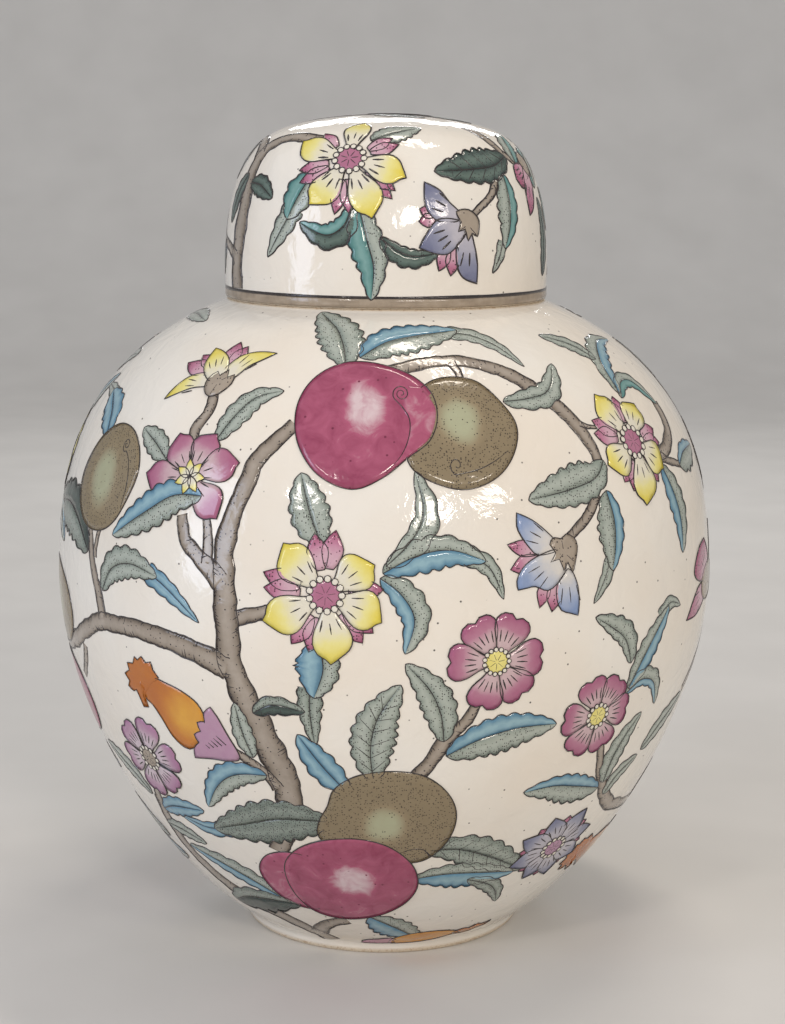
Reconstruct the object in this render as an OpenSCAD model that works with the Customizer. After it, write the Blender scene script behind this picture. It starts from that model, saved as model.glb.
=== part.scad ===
// Ginger jar: a wheel-thrown porcelain jar with a raised neck, and a deep cap lid that drops over it.
// Origin at the centre of the foot, on the surface that the jar stands on. +Z up. Millimetres.

/* [Jar body] */
// Largest radius of the belly
belly_r = 100; // [85:1:120]
// Height of the widest point above the foot
belly_z = 111; // [100:1:125]
// Height of the flat ledge that the lid rests on
ledge_z = 193; // [180:1:210]
// Outer radius of the ledge, where the shoulder ends
ledge_r = 48.5; // [48:0.5:52]
// Thickness of the thrown wall
body_wall = 4.8; // [3.5:0.1:6]
// Thickness of the floor inside, measured from the standing surface
floor_z = 10; // [8:0.5:14]

/* [Foot ring] */
// Outer radius where the wall meets the foot ring
foot_r = 43; // [40:0.5:52]
// Height of the foot ring
foot_h = 3.4; // [2.5:0.1:4.5]
// Width of the foot ring's standing face
foot_land = 4.2; // [3:0.1:6]
// Depth of the recess under the base
recess_h = 4.4; // [3:0.1:5]

/* [Neck] */
// Outer radius of the raised neck
neck_r = 42.4; // [40:0.1:43]
// Radius of the mouth
mouth_r = 37.8; // [34:0.1:38.5]
// Height of the neck above the ledge
neck_h = 23; // [15:1:28]

/* [Lid] */
// Outer radius of the lid at its rim
lid_r = 49; // [48.5:0.1:50]
// Height of the lid from its rim to the top of the dome
lid_h = 55; // [50:1:65]
// Thickness of the lid's wall
lid_wall = 4.7; // [3.5:0.1:5]
// Radius where the lid's side rounds over into its low dome
dome_r = 30.6; // [26:0.2:34]
// Slope of the dome at that radius, in degrees
dome_slope = 18.5; // [14:0.5:22]
// Gap between the resting rim and the ledge
seat_gap = 0.1; // [0.05:0.05:0.3]

/* [Hidden] */
$fn = 96;
curve_steps = 28;
lip_r = (neck_r - mouth_r) / 2;
lid_z = ledge_z + seat_gap;
porcelain = [0.93, 0.89, 0.83];

// A point on the cubic curve through four control points, at t from 0 to 1.
function curve_point(c, t) =
    pow(1 - t, 3) * c[0] + 3 * pow(1 - t, 2) * t * c[1]
    + 3 * (1 - t) * t * t * c[2] + pow(t, 3) * c[3];

// The direction of travel along the same curve.
function curve_way(c, t) =
    pow(1 - t, 2) * (c[1] - c[0]) + 2 * (1 - t) * t * (c[2] - c[1]) + t * t * (c[3] - c[2]);

// The curve moved sideways by d: to the left of its travel where d is positive.
function curve_beside(c, t, d) =
    let (way = curve_way(c, t))
    curve_point(c, t) + d * [-way[1], way[0]] / norm(way);

// Points from t_from to t_to, moved sideways by d.
function curve_run(c, d = 0, t_from = 0, t_to = 1) =
    [for (i = [0 : curve_steps]) curve_beside(c, t_from + (t_to - t_from) * i / curve_steps, d)];

// A quarter turn of a small radius, from one angle to another.
function corner(centre, r, a_from, a_to, steps = 6) =
    [for (i = [0 : steps])
        let (a = a_from + (a_to - a_from) * i / steps)
        centre + r * [cos(a), sin(a)]];

// Belly: from the foot ring out to the widest point.
belly_curve = [
    [foot_r, foot_h],
    [foot_r + 0.38 * (belly_r - foot_r), foot_h + 10.6],
    [belly_r, 0.6 * belly_z],
    [belly_r, belly_z]
];

// Shoulder: from the widest point in to the ledge.
shoulder_curve = [
    [belly_r, belly_z],
    [belly_r, belly_z + 0.56 * (ledge_z - belly_z)],
    [ledge_r + 0.65 * (belly_r - ledge_r), ledge_z - 0.165 * (ledge_z - belly_z)],
    [ledge_r, ledge_z]
];

// Lid: the side that rounds over at the top, then the low dome, meeting on one slope.
lid_top = lid_z + lid_h;
dome_edge = [dome_r, lid_z + 0.927 * lid_h];
dome_way = [-cos(dome_slope), sin(dome_slope)];
lid_side_curve = [
    [lid_r, lid_z + 3],
    [lid_r + 1, lid_z + 0.555 * lid_h],
    dome_edge - 14.2 * dome_way,
    dome_edge
];
lid_dome_curve = [
    dome_edge,
    dome_edge + 8 * dome_way,
    [0.4 * dome_r, lid_top],
    [0, lid_top]
];

module jar_body() {
    foot_in = foot_r - foot_land - 1;
    outside = concat(
        [[0, recess_h], [foot_in - 3, recess_h], [foot_in - 0.6, 0.8], [foot_in, 0]],
        [[foot_r - 1, 0], [foot_r - 0.2, 0.8]],
        curve_run(belly_curve),
        curve_run(shoulder_curve)
    );
    neck = concat(
        [[neck_r, ledge_z]],
        corner([neck_r - lip_r, ledge_z + neck_h - lip_r], lip_r, 0, 180),
        [[mouth_r, ledge_z - body_wall - 0.6]]
    );
    inside_shoulder = [for (p = curve_run(shoulder_curve, body_wall))
        if (p[1] < ledge_z - body_wall - 3) p];
    inside_belly = [for (p = curve_run(belly_curve, body_wall))
        if (p[1] > floor_z + 3) p];
    count_up = len(inside_shoulder) - 1;
    count_down = len(inside_belly) - 1;
    inside = concat(
        [for (i = [0 : count_up]) inside_shoulder[count_up - i]],
        [for (i = [1 : count_down]) inside_belly[count_down - i]],
        [[inside_belly[0][0] - 7, floor_z], [0, floor_z]]
    );
    color(porcelain) rotate_extrude() polygon(concat(outside, neck, inside));
}

module lid() {
    rim_in = lid_r - lid_wall;
    outside = concat(
        [[rim_in + 0.5, lid_z], [lid_r - 0.9, lid_z], [lid_r - 0.3, lid_z + 0.7]],
        curve_run(lid_side_curve),
        [for (i = [1 : curve_steps]) curve_point(lid_dome_curve, i / curve_steps)]
    );
    inside_side = curve_run(lid_side_curve, lid_wall);
    inside_dome = curve_run(lid_dome_curve, lid_wall);
    inside = concat(
        [[0, lid_top - lid_wall]],
        [for (i = [1 : curve_steps]) inside_dome[curve_steps - i]],
        [for (i = [1 : curve_steps]) inside_side[curve_steps - i]],
        [[rim_in, lid_z + 0.6]]
    );
    color(porcelain) rotate_extrude() polygon(concat(outside, inside));
}

jar_body();
lid();
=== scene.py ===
"""A lidded ginger jar: thrown porcelain, glazed and painted with fruit, blossom and branches in enamels.

The jar and its lid are turned shells. Every painted leaf, petal, fruit, branch and line is a thin raised coat
of enamel of its own, laid on the turned surface and gathered in one piece for each enamel.
"""

import logging
import math
from bisect import bisect_right
from dataclasses import dataclass
from enum import Enum
from typing import Callable, Sequence

import bmesh
import bpy
from mathutils import Matrix, Vector, noise


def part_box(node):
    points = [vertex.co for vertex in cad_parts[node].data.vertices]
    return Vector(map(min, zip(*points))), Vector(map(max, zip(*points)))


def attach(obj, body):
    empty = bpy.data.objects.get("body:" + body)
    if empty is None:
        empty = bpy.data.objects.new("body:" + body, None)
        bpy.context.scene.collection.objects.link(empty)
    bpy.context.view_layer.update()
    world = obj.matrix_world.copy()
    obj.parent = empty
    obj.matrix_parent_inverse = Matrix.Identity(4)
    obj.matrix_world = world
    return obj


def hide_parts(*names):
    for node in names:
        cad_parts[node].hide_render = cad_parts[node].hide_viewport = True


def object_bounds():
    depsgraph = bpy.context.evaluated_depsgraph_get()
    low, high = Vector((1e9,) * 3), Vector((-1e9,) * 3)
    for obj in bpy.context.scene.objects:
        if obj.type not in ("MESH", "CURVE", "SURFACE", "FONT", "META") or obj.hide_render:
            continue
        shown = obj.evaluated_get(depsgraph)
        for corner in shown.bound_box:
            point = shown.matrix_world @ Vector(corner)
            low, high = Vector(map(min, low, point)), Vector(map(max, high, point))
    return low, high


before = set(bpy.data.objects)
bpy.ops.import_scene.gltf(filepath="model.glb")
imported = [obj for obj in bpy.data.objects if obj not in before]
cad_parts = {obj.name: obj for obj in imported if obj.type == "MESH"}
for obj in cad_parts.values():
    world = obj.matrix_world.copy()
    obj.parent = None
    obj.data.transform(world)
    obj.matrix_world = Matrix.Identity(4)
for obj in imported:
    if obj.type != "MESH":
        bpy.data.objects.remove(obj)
cad_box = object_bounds()

log = logging.getLogger("ginger_jar")

MM = 0.001
# How far the glaze lies under the CAD surface, which leaves room for the enamels on it.
GLAZE_DEPTH = 0.6
# Depth of each enamel's solid, from its face down into the glaze.
ENAMEL_DEPTH = 0.5
# How far a painted line stands above the enamel that it outlines.
LINE_RISE = 0.02
# Rise from one petal or fruit to the next one that lies over it.
OVERLAP_RISE = 0.03
# How far the sizes here may be off the CAD's, in millimetres.
SIZE_SLACK = 0.3
# How strongly the waves of the fired glaze break up its reflections.
RIPPLE_STRENGTH = 0.55
# Height of those waves, in millimetres.
RIPPLE_HEIGHT = 0.7
# Angle between neighbours when seven things stand in a ring, in degrees.
SEVENTH_TURN = 51.4

Point = tuple[float, float]
Shape = Callable[[float, float], tuple[Point, float, float]]
Shade = Callable[[Point], float]
Socket = bpy.types.NodeSocket
Inputs = dict[str | int, object]


class Lift(Enum):
    """Height of each kind of motif above the glaze in millimetres, so that upper ones cover lower ones."""

    BARK = 0.06
    TAIL = 0.10
    LEAF = 0.14
    SEPAL = 0.19
    FRUIT = 0.20
    PETAL = 0.22


class LeafForm(Enum):
    """Outline of a painted leaf: a whole leaf, or the turned tip that shows beyond a fold."""

    WHOLE = "whole"
    TAIL = "tail"


class PetalForm(Enum):
    """Outline of a petal as (share of its length, share of its half width) points, left side first.

    A point given twice is a sharp corner.
    """

    TULIP = (
        (0.0, 0.15), (0.22, 0.5), (0.46, 0.92), (0.64, 1.0), (0.79, 0.76), (0.88, 0.36), (0.94, 0.06),
        (1.0, -0.28),
        (1.0, -0.28), (0.9, -0.5), (0.8, -0.86), (0.62, -1.02), (0.42, -0.86), (0.22, -0.5), (0.0, -0.15),
    )
    HEART = (
        (0.0, 0.18), (0.25, 0.5), (0.52, 0.9), (0.78, 1.02), (0.96, 0.72), (1.0, 0.32), (0.91, 0.0),
        (0.99, -0.34), (0.95, -0.74), (0.77, -1.02), (0.5, -0.88), (0.25, -0.5), (0.0, -0.18),
    )
    SPEAR = (
        (0.0, 0.35), (0.3, 0.88), (0.55, 1.0), (0.8, 0.6), (1.0, 0.0), (1.0, 0.0),
        (0.8, -0.52), (0.55, -1.0), (0.3, -0.88), (0.0, -0.35),
    )


class Paint(Enum):
    """The enamels on the palette, by the name that their pieces end in."""

    BARK = "bark_branches"
    GREEN = "grey_green_leaves"
    DARK = "dark_green_leaves"
    BLUE = "blue_leaves"
    TEAL = "teal_leaves"
    ROSE = "rose_fruit"
    OLIVE = "olive_fruit"
    ORANGE = "orange_fruit"
    SEPAL = "pink_sepals"
    VIOLET = "violet_petals"
    PINK = "pink_petals"
    LILAC = "lilac_petals"
    YELLOW = "yellow_petals"
    SKY = "blue_petals"
    CALYX = "calyxes"
    SEED = "seed_beads"
    LINE = "painted_lines"
    FLOWER_LINE = "flower_lines"
    RIM = "brown_rim"


def smooth_step(low: float, high: float, value: float) -> float:
    """Eases from 0 at low to 1 at high.

    Args:
        low: Value where the result starts to rise.
        high: Value where the result reaches 1.
        value: The value to ease.

    Returns:
        A share from 0 to 1.
    """
    share = min(1.0, max(0.0, (value - low) / (high - low)))
    return share * share * (3 - 2 * share)


def mix(a: Sequence[float], b: Sequence[float], share: float) -> tuple[float, ...]:
    """Blends two points or tuples.

    Args:
        a: Value at share 0.
        b: Value at share 1.
        share: How far to go from a to b.

    Returns:
        The blended tuple.
    """
    return tuple(x + (y - x) * share for x, y in zip(a, b))


def linear(code: str) -> tuple[float, float, float, float]:
    """Turns an sRGB hex colour to the linear colour that shaders take.

    Args:
        code: Six hex digits with a leading hash sign.

    Returns:
        Linear red, green and blue with an alpha of 1.
    """
    parts = [int(code[i : i + 2], 16) / 255 for i in (1, 3, 5)]
    return (*[p / 12.92 if p <= 0.04045 else ((p + 0.055) / 1.055) ** 2.4 for p in parts], 1.0)


def bezier(ends: Sequence[Point], count: int) -> list[Point]:
    """Samples a cubic curve.

    Args:
        ends: Its four control points.
        count: How many steps to take along it.

    Returns:
        The points along the curve, both ends included.
    """
    found = []
    for i in range(count + 1):
        t = i / count
        k = 1 - t
        weights = (k**3, 3 * k * k * t, 3 * k * t * t, t**3)
        found.append(tuple(sum(w * p[axis] for w, p in zip(weights, ends)) for axis in (0, 1)))
    return found


def curve_through(p: float, q: float, r: float, s: float, t: float) -> float:
    """Value at share t between q and r of the smooth curve that runs through p, q, r and s."""
    return 0.5 * (2 * q + (r - p) * t + (2 * p - 5 * q + 4 * r - s) * t**2 + (3 * q - p - 3 * r + s) * t**3)


def middle_of(points: Sequence[Point]) -> Point:
    """The mean of some chart points."""
    return tuple(sum(p[axis] for p in points) / len(points) for axis in (0, 1))


def ring(count: int, length: float, start: float) -> list[Point]:
    """(direction, length) of petals that are evenly spread, their lengths a little uneven."""
    return [(start + 360 * k / count, length * (1 + 0.05 * math.sin(2.1 * k))) for k in range(count)]


def lumps(spot: Vector) -> float:
    """Hand-thrown unevenness of the clay at a place, the same for the glaze and all that lies on it.

    Args:
        spot: Place in metres.

    Returns:
        How far the surface stands out there, in millimetres.
    """
    return 0.07 * noise.noise(spot / 0.034) + 0.02 * noise.noise(spot / 0.011 + Vector((7.0, 3.0, 1.0)))


@dataclass(frozen=True)
class JarSizes:
    """Sizes of the jar's body in millimetres, as the CAD has them."""

    belly_r: float = 100.0
    belly_z: float = 111.0
    ledge_r: float = 48.5
    ledge_z: float = 193.0
    wall: float = 4.8
    floor_z: float = 10.0
    foot_r: float = 43.0
    foot_h: float = 3.4
    foot_land: float = 4.2
    recess_h: float = 4.4
    neck_r: float = 42.4
    mouth_r: float = 37.8
    neck_h: float = 23.0

    def outer(self) -> list[Point]:
        """Outline of the outside from the top of the foot ring up to the ledge, as (radius, height)."""
        rise = self.ledge_z - self.belly_z
        reach = self.belly_r - self.foot_r
        belly = [
            (self.foot_r, self.foot_h),
            (self.foot_r + 0.38 * reach, self.foot_h + 10.6),
            (self.belly_r, 0.6 * self.belly_z),
            (self.belly_r, self.belly_z),
        ]
        shoulder = [
            (self.belly_r, self.belly_z),
            (self.belly_r, self.belly_z + 0.56 * rise),
            (self.ledge_r + 0.65 * (self.belly_r - self.ledge_r), self.ledge_z - 0.165 * rise),
            (self.ledge_r, self.ledge_z),
        ]
        return bezier(belly, 64) + bezier(shoulder, 64)[1:]


@dataclass(frozen=True)
class LidSizes:
    """Sizes of the lid in millimetres, as the CAD has them."""

    lid_r: float = 49.0
    lid_z: float = 193.1
    lid_h: float = 55.0
    wall: float = 4.7
    dome_r: float = 30.6
    dome_slope: float = 18.5

    def outer(self) -> list[Point]:
        """Outline of the outside from the rim to the middle of the top, as (radius, height)."""
        top = self.lid_z + self.lid_h
        edge = (self.dome_r, self.lid_z + 0.927 * self.lid_h)
        slope = math.radians(self.dome_slope)
        way = (-math.cos(slope), math.sin(slope))
        side = [
            (self.lid_r, self.lid_z + 3),
            (self.lid_r + 1, self.lid_z + 0.555 * self.lid_h),
            (edge[0] - 14.2 * way[0], edge[1] - 14.2 * way[1]),
            edge,
        ]
        dome = [edge, (edge[0] + 8 * way[0], edge[1] + 8 * way[1]), (0.4 * self.dome_r, top), (0.0, top)]
        rim = [(self.lid_r - 0.9, self.lid_z), (self.lid_r - 0.3, self.lid_z + 0.7)]
        return rim + bezier(side, 48) + bezier(dome, 40)[1:]


class TurnedSurface:
    """The glazed outside of a turned pot, as a chart of azimuth in degrees and way up the outline in mm."""

    def __init__(self, outline: list[Point], core: float, cell: float) -> None:
        """Measures the outline.

        Args:
            outline: (radius, height) points in millimetres, from the bottom up.
            core: Height of a point inside the pot that all its outside faces away from.
            cell: Longest step between vertices that follows its curves, in millimetres.
        """
        self.core = Vector((0, 0, core)) * MM
        self.cell = cell
        self.ways = [0.0]
        for a, b in zip(outline, outline[1:]):
            self.ways.append(self.ways[-1] + math.dist(a, b))
        self.length = self.ways[-1]
        normals = []
        for i in range(len(outline)):
            a = outline[max(i - 1, 0)]
            b = outline[min(i + 1, len(outline) - 1)]
            run = math.dist(a, b)
            normals.append(((b[1] - a[1]) / run, (a[0] - b[0]) / run))
        self.rows = [(*p, *n) for p, n in zip(outline, normals)]

    def spot(self, way: float) -> tuple[float, ...]:
        """Finds a place on the outline.

        Args:
            way: Millimetres along the outline from its lower end.

        Returns:
            Radius and height of the glaze there, and the two parts of its normal.
        """
        way = min(max(way, 0.0), self.length - 1e-6)
        i = bisect_right(self.ways, way) - 1
        share = (way - self.ways[i]) / (self.ways[i + 1] - self.ways[i])
        r, z, nr, nz = mix(self.rows[i], self.rows[i + 1], share)
        sunk = GLAZE_DEPTH * (0.25 + 0.75 * smooth_step(0, 4, way))
        return r - nr * sunk, z - nz * sunk, nr, nz

    def place(self, at: Point, lift: float) -> Vector:
        """Puts a point of the chart on the pot.

        Args:
            at: Azimuth in degrees, 0 at the front and positive to the right, and way up in millimetres.
            lift: Height above the glaze in millimetres.

        Returns:
            The place in metres.
        """
        r, z, nr, nz = self.spot(at[1])
        turn = math.radians(at[0])
        outward = Vector((nr * math.sin(turn), -nr * math.cos(turn), nz))
        base = Vector((r * math.sin(turn), -r * math.cos(turn), z)) * MM
        return base + outward * ((lift + lumps(base)) * MM)

    def shift(self, at: Point, dx: float, dy: float) -> Point:
        """Moves a chart point by millimetres to the right and up."""
        radius = max(self.spot(at[1])[0], 1.0)
        return at[0] + math.degrees(dx / radius), at[1] + dy

    def gap(self, a: Point, b: Point) -> Point:
        """Millimetres to the right and up from chart point a to chart point b."""
        radius = self.spot((a[1] + b[1]) / 2)[0]
        return math.radians(b[0] - a[0]) * radius, b[1] - a[1]

    def apart(self, a: Point, b: Point) -> float:
        """Millimetres between two chart points."""
        return math.hypot(*self.gap(a, b))

    def turned(self, at: Point) -> Point:
        """The same chart point on the far side of the pot."""
        return at[0] + 180, at[1]


class CrownSurface(TurnedSurface):
    """The top of a domed lid, as a flat chart of millimetres to the right and to the back of its middle."""

    def __init__(self, outline: list[Point], core: float, cell: float) -> None:
        """Measures the outline, as for any turned pot, and where each radius of the crown is on it."""
        super().__init__(outline, core, cell)
        count = len(self.rows)
        self.crown = sorted((self.rows[i][0], self.ways[i]) for i in range(count) if self.ways[i] > 30)

    def place(self, at: Point, lift: float) -> Vector:
        """Puts a point of the flat chart on the crown.

        Args:
            at: Millimetres to the right and to the back.
            lift: Height above the glaze in millimetres.

        Returns:
            The place in metres.
        """
        radius = math.hypot(*at)
        i = min(max(bisect_right(self.crown, (radius, 0.0)), 1), len(self.crown) - 1)
        (r0, w0), (r1, w1) = self.crown[i - 1], self.crown[i]
        way = w0 + (w1 - w0) * (radius - r0) / (r1 - r0)
        return super().place((math.degrees(math.atan2(at[0], -at[1])), way), lift)

    def shift(self, at: Point, dx: float, dy: float) -> Point:
        """Moves a chart point by millimetres."""
        return at[0] + dx, at[1] + dy

    def gap(self, a: Point, b: Point) -> Point:
        """Millimetres from chart point a to chart point b."""
        return b[0] - a[0], b[1] - a[1]


def per_mm(size: float) -> float:
    """Texture scale whose cells are the given number of millimetres across on Object coordinates."""
    return 1 / (size * MM)


@dataclass(frozen=True)
class Dots:
    """Round dots scattered over a surface, one at most in each cell.

    The spacing of the cells is in millimetres. The radius and the soft edge are shares of it.
    """

    spacing: float
    radius: float
    fade: float = 0.08
    strength: float = 1.0
    scatter: float = 0.75


class Finish:
    """A material in the making, with the few kinds of node groups that the jar's finishes are made of."""

    def __init__(self, name: str) -> None:
        """Starts a material whose textures follow Object coordinates."""
        self.made = bpy.data.materials.new(name)
        self.made.use_nodes = True
        self.tree = self.made.node_tree
        self.coords = self.add("ShaderNodeTexCoord").outputs["Object"]

    def connect(self, node: bpy.types.Node, inputs: Inputs) -> None:
        """Feeds a node's inputs.

        Args:
            node: The node.
            inputs: Input socket to the output that feeds it, or to its fixed value.
        """
        for socket, source in inputs.items():
            if isinstance(source, Socket):
                self.tree.links.new(source, node.inputs[socket])
            else:
                node.inputs[socket].default_value = source

    def add(self, kind: str, inputs: Inputs | None = None, **settings: object) -> bpy.types.Node:
        """Adds one node.

        Args:
            kind: Blender's name for the node.
            inputs: Input socket to the output that feeds it, or to its fixed value.
            **settings: The node's own options.

        Returns:
            The new node.
        """
        node = self.tree.nodes.new(kind)
        for name, value in settings.items():
            setattr(node, name, value)
        self.connect(node, inputs or {})
        return node

    def attribute(self, name: str) -> Socket:
        """The value that the vertices carry under this name."""
        return self.add("ShaderNodeAttribute", attribute_name=name).outputs["Fac"]

    def maths(self, operation: str, *values: object) -> Socket:
        """The result of one sum, whose values are outputs or numbers."""
        return self.add("ShaderNodeMath", dict(enumerate(values)), operation=operation).outputs[0]

    def span(self, source: Socket, low: float, high: float, **ends: float) -> Socket:
        """A value stretched from 0..1, or from its own ends, to low..high."""
        inputs = {"Value": source, "To Min": low, "To Max": high, **ends}
        return self.add("ShaderNodeMapRange", inputs).outputs[0]

    def clouds(self, size: float, detail: float, **more: float) -> Socket:
        """Soft noise whose patches are some millimetres across."""
        inputs = {"Vector": self.coords, "Scale": per_mm(size), "Detail": detail, **more}
        return self.add("ShaderNodeTexNoise", inputs).outputs[0]

    def ramp(self, source: Socket, stops: dict[float, str]) -> Socket:
        """Turns a value to a colour.

        Args:
            source: What drives the ramp.
            stops: Place on the ramp, from 0 to 1, to its sRGB hex colour.

        Returns:
            The colour.
        """
        node = self.add("ShaderNodeValToRGB", {0: source})
        places = node.color_ramp.elements
        while len(places) < len(stops):
            places.new(0.5)
        for element, (place, code) in zip(places, stops.items()):
            element.position = place
            element.color = linear(code)
        return node.outputs[0]

    def blend(self, share: Socket, under: Socket, over: object) -> Socket:
        """Lays the colour over on the colour under, where the share is 1."""
        inputs = {"Factor": share, "A": under, "B": over}
        return self.add("ShaderNodeMix", inputs, data_type="RGBA").outputs["Result"]

    def dotted(self, dots: Dots, share: Socket | float) -> Socket:
        """Scatters dots.

        Args:
            dots: The kind of dots.
            share: How many of the cells hold a dot, from 0 to 1.

        Returns:
            A mask that is as high as their strength on a dot and 0 off it.
        """
        inputs = {"Vector": self.coords, "Scale": per_mm(dots.spacing), "Randomness": dots.scatter}
        cells = self.add("ShaderNodeTexVoronoi", inputs)
        ends = {"From Min": dots.radius, "From Max": dots.radius + dots.fade}
        spot = self.span(cells.outputs["Distance"], dots.strength, 0.0, **ends)
        pick = self.add("ShaderNodeSeparateColor", {"Color": cells.outputs["Color"]})
        return self.maths("MULTIPLY", spot, self.maths("LESS_THAN", pick.outputs["Red"], share))

    def glassy(self, colour: Socket, roughness: object, ior: float) -> bpy.types.Material:
        """Finishes a fired surface, whose faint waves break up the edges of its reflections.

        Args:
            colour: Its colour.
            roughness: Its roughness, from an output or fixed.
            ior: Its index of refraction.

        Returns:
            The finished material.
        """
        waves = self.clouds(8.5, 4.0, Roughness=0.5, Distortion=0.5)
        bump = {"Height": waves, "Strength": RIPPLE_STRENGTH, "Distance": RIPPLE_HEIGHT * MM}
        normal = self.add("ShaderNodeBump", bump).outputs["Normal"]
        inputs = {"Base Color": colour, "Roughness": roughness, "IOR": ior, "Normal": normal}
        self.connect(self.tree.nodes["Principled BSDF"], inputs)
        return self.made


@dataclass(frozen=True)
class GlazedPorcelain:
    """Wheel-thrown porcelain under a clear feldspar glaze: glossy, warm white, with tiny iron specks.

    The foot ring, ledge, lip and rim are wiped bare before firing and stay a dry, matt biscuit. Where the
    glaze ends, iron in the clay flashes brown. Sizes are in millimetres.
    """

    name: str = "glazed_porcelain"
    warm: str = "#E4DBCD"
    pale: str = "#E7E2D8"
    cloud_size: float = 45.0
    speck: str = "#2A2320"
    specks: Dots = Dots(spacing=3.3, radius=0.06, fade=0.05, strength=0.9, scatter=1.0)
    speck_share: float = 0.34
    biscuit: str = "#D6C8B2"
    flashing: str = "#B99F80"
    grit_size: float = 0.7
    gloss: float = 0.07
    dry: float = 0.72
    ior: float = 1.52

    def material(self) -> bpy.types.Material:
        """Builds the finish.

        Returns:
            The material, which reads the "bare" attribute: 0 on glaze, 1 on biscuit.
        """
        ware = Finish(self.name)
        tint = ware.ramp(ware.clouds(self.cloud_size, 3.0), {0.35: self.warm, 0.65: self.pale})
        glaze = ware.blend(ware.dotted(self.specks, self.speck_share), tint, linear(self.speck))
        clay = ware.ramp(ware.clouds(self.grit_size, 4.0), {0.3: self.flashing, 0.5: self.biscuit})
        bare = ware.attribute("bare")
        wiped = ware.ramp(bare, {0.1: "#000000", 0.6: "#FFFFFF"})
        return ware.glassy(ware.blend(wiped, glaze, clay), ware.span(bare, self.gloss, self.dry), self.ior)


@dataclass(frozen=True)
class OverglazeEnamel:
    """A lead-glass enamel brushed over the glaze and fused: a little raised, translucent and uneven.

    The painter's shading runs from shade 0, at the edges, through 0.5 to the palest wash at 1. Painted dots
    stand in a share of their cells that goes from dots_deep at shade 0 to dots_pale at shade 1.
    """

    name: str
    slot: str
    deep: str
    middle: str
    pale: str
    gloss: float = 0.13
    ior: float = 1.58
    mottle: float = 0.25
    mottle_size: float = 3.0
    swirl: float = 0.0
    dot_spacing: float = 0.0
    dots_deep: float = 0.0
    dots_pale: float = 0.0
    dot_size: float = 0.27
    dot_colour: str = "#2A2324"

    def material(self) -> bpy.types.Material:
        """Builds the finish.

        Returns:
            The material, which reads the "shade" attribute.
        """
        coat = Finish(self.name)
        shade = coat.attribute("shade")
        clouds = coat.clouds(self.mottle_size, 4.0, Roughness=0.6, Distortion=self.swirl)
        drift = coat.maths("SUBTRACT", clouds, 0.5)
        uneven = coat.maths("MULTIPLY_ADD", drift, 2 * self.mottle, shade)
        colour = coat.ramp(uneven, {0.0: self.deep, 0.5: self.middle, 1.0: self.pale})
        if self.dot_spacing:
            share = coat.span(shade, self.dots_deep, self.dots_pale)
            dots = coat.dotted(Dots(self.dot_spacing, self.dot_size), share)
            colour = coat.blend(dots, colour, linear(self.dot_colour))
        return coat.glassy(colour, self.gloss, self.ior)


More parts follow.
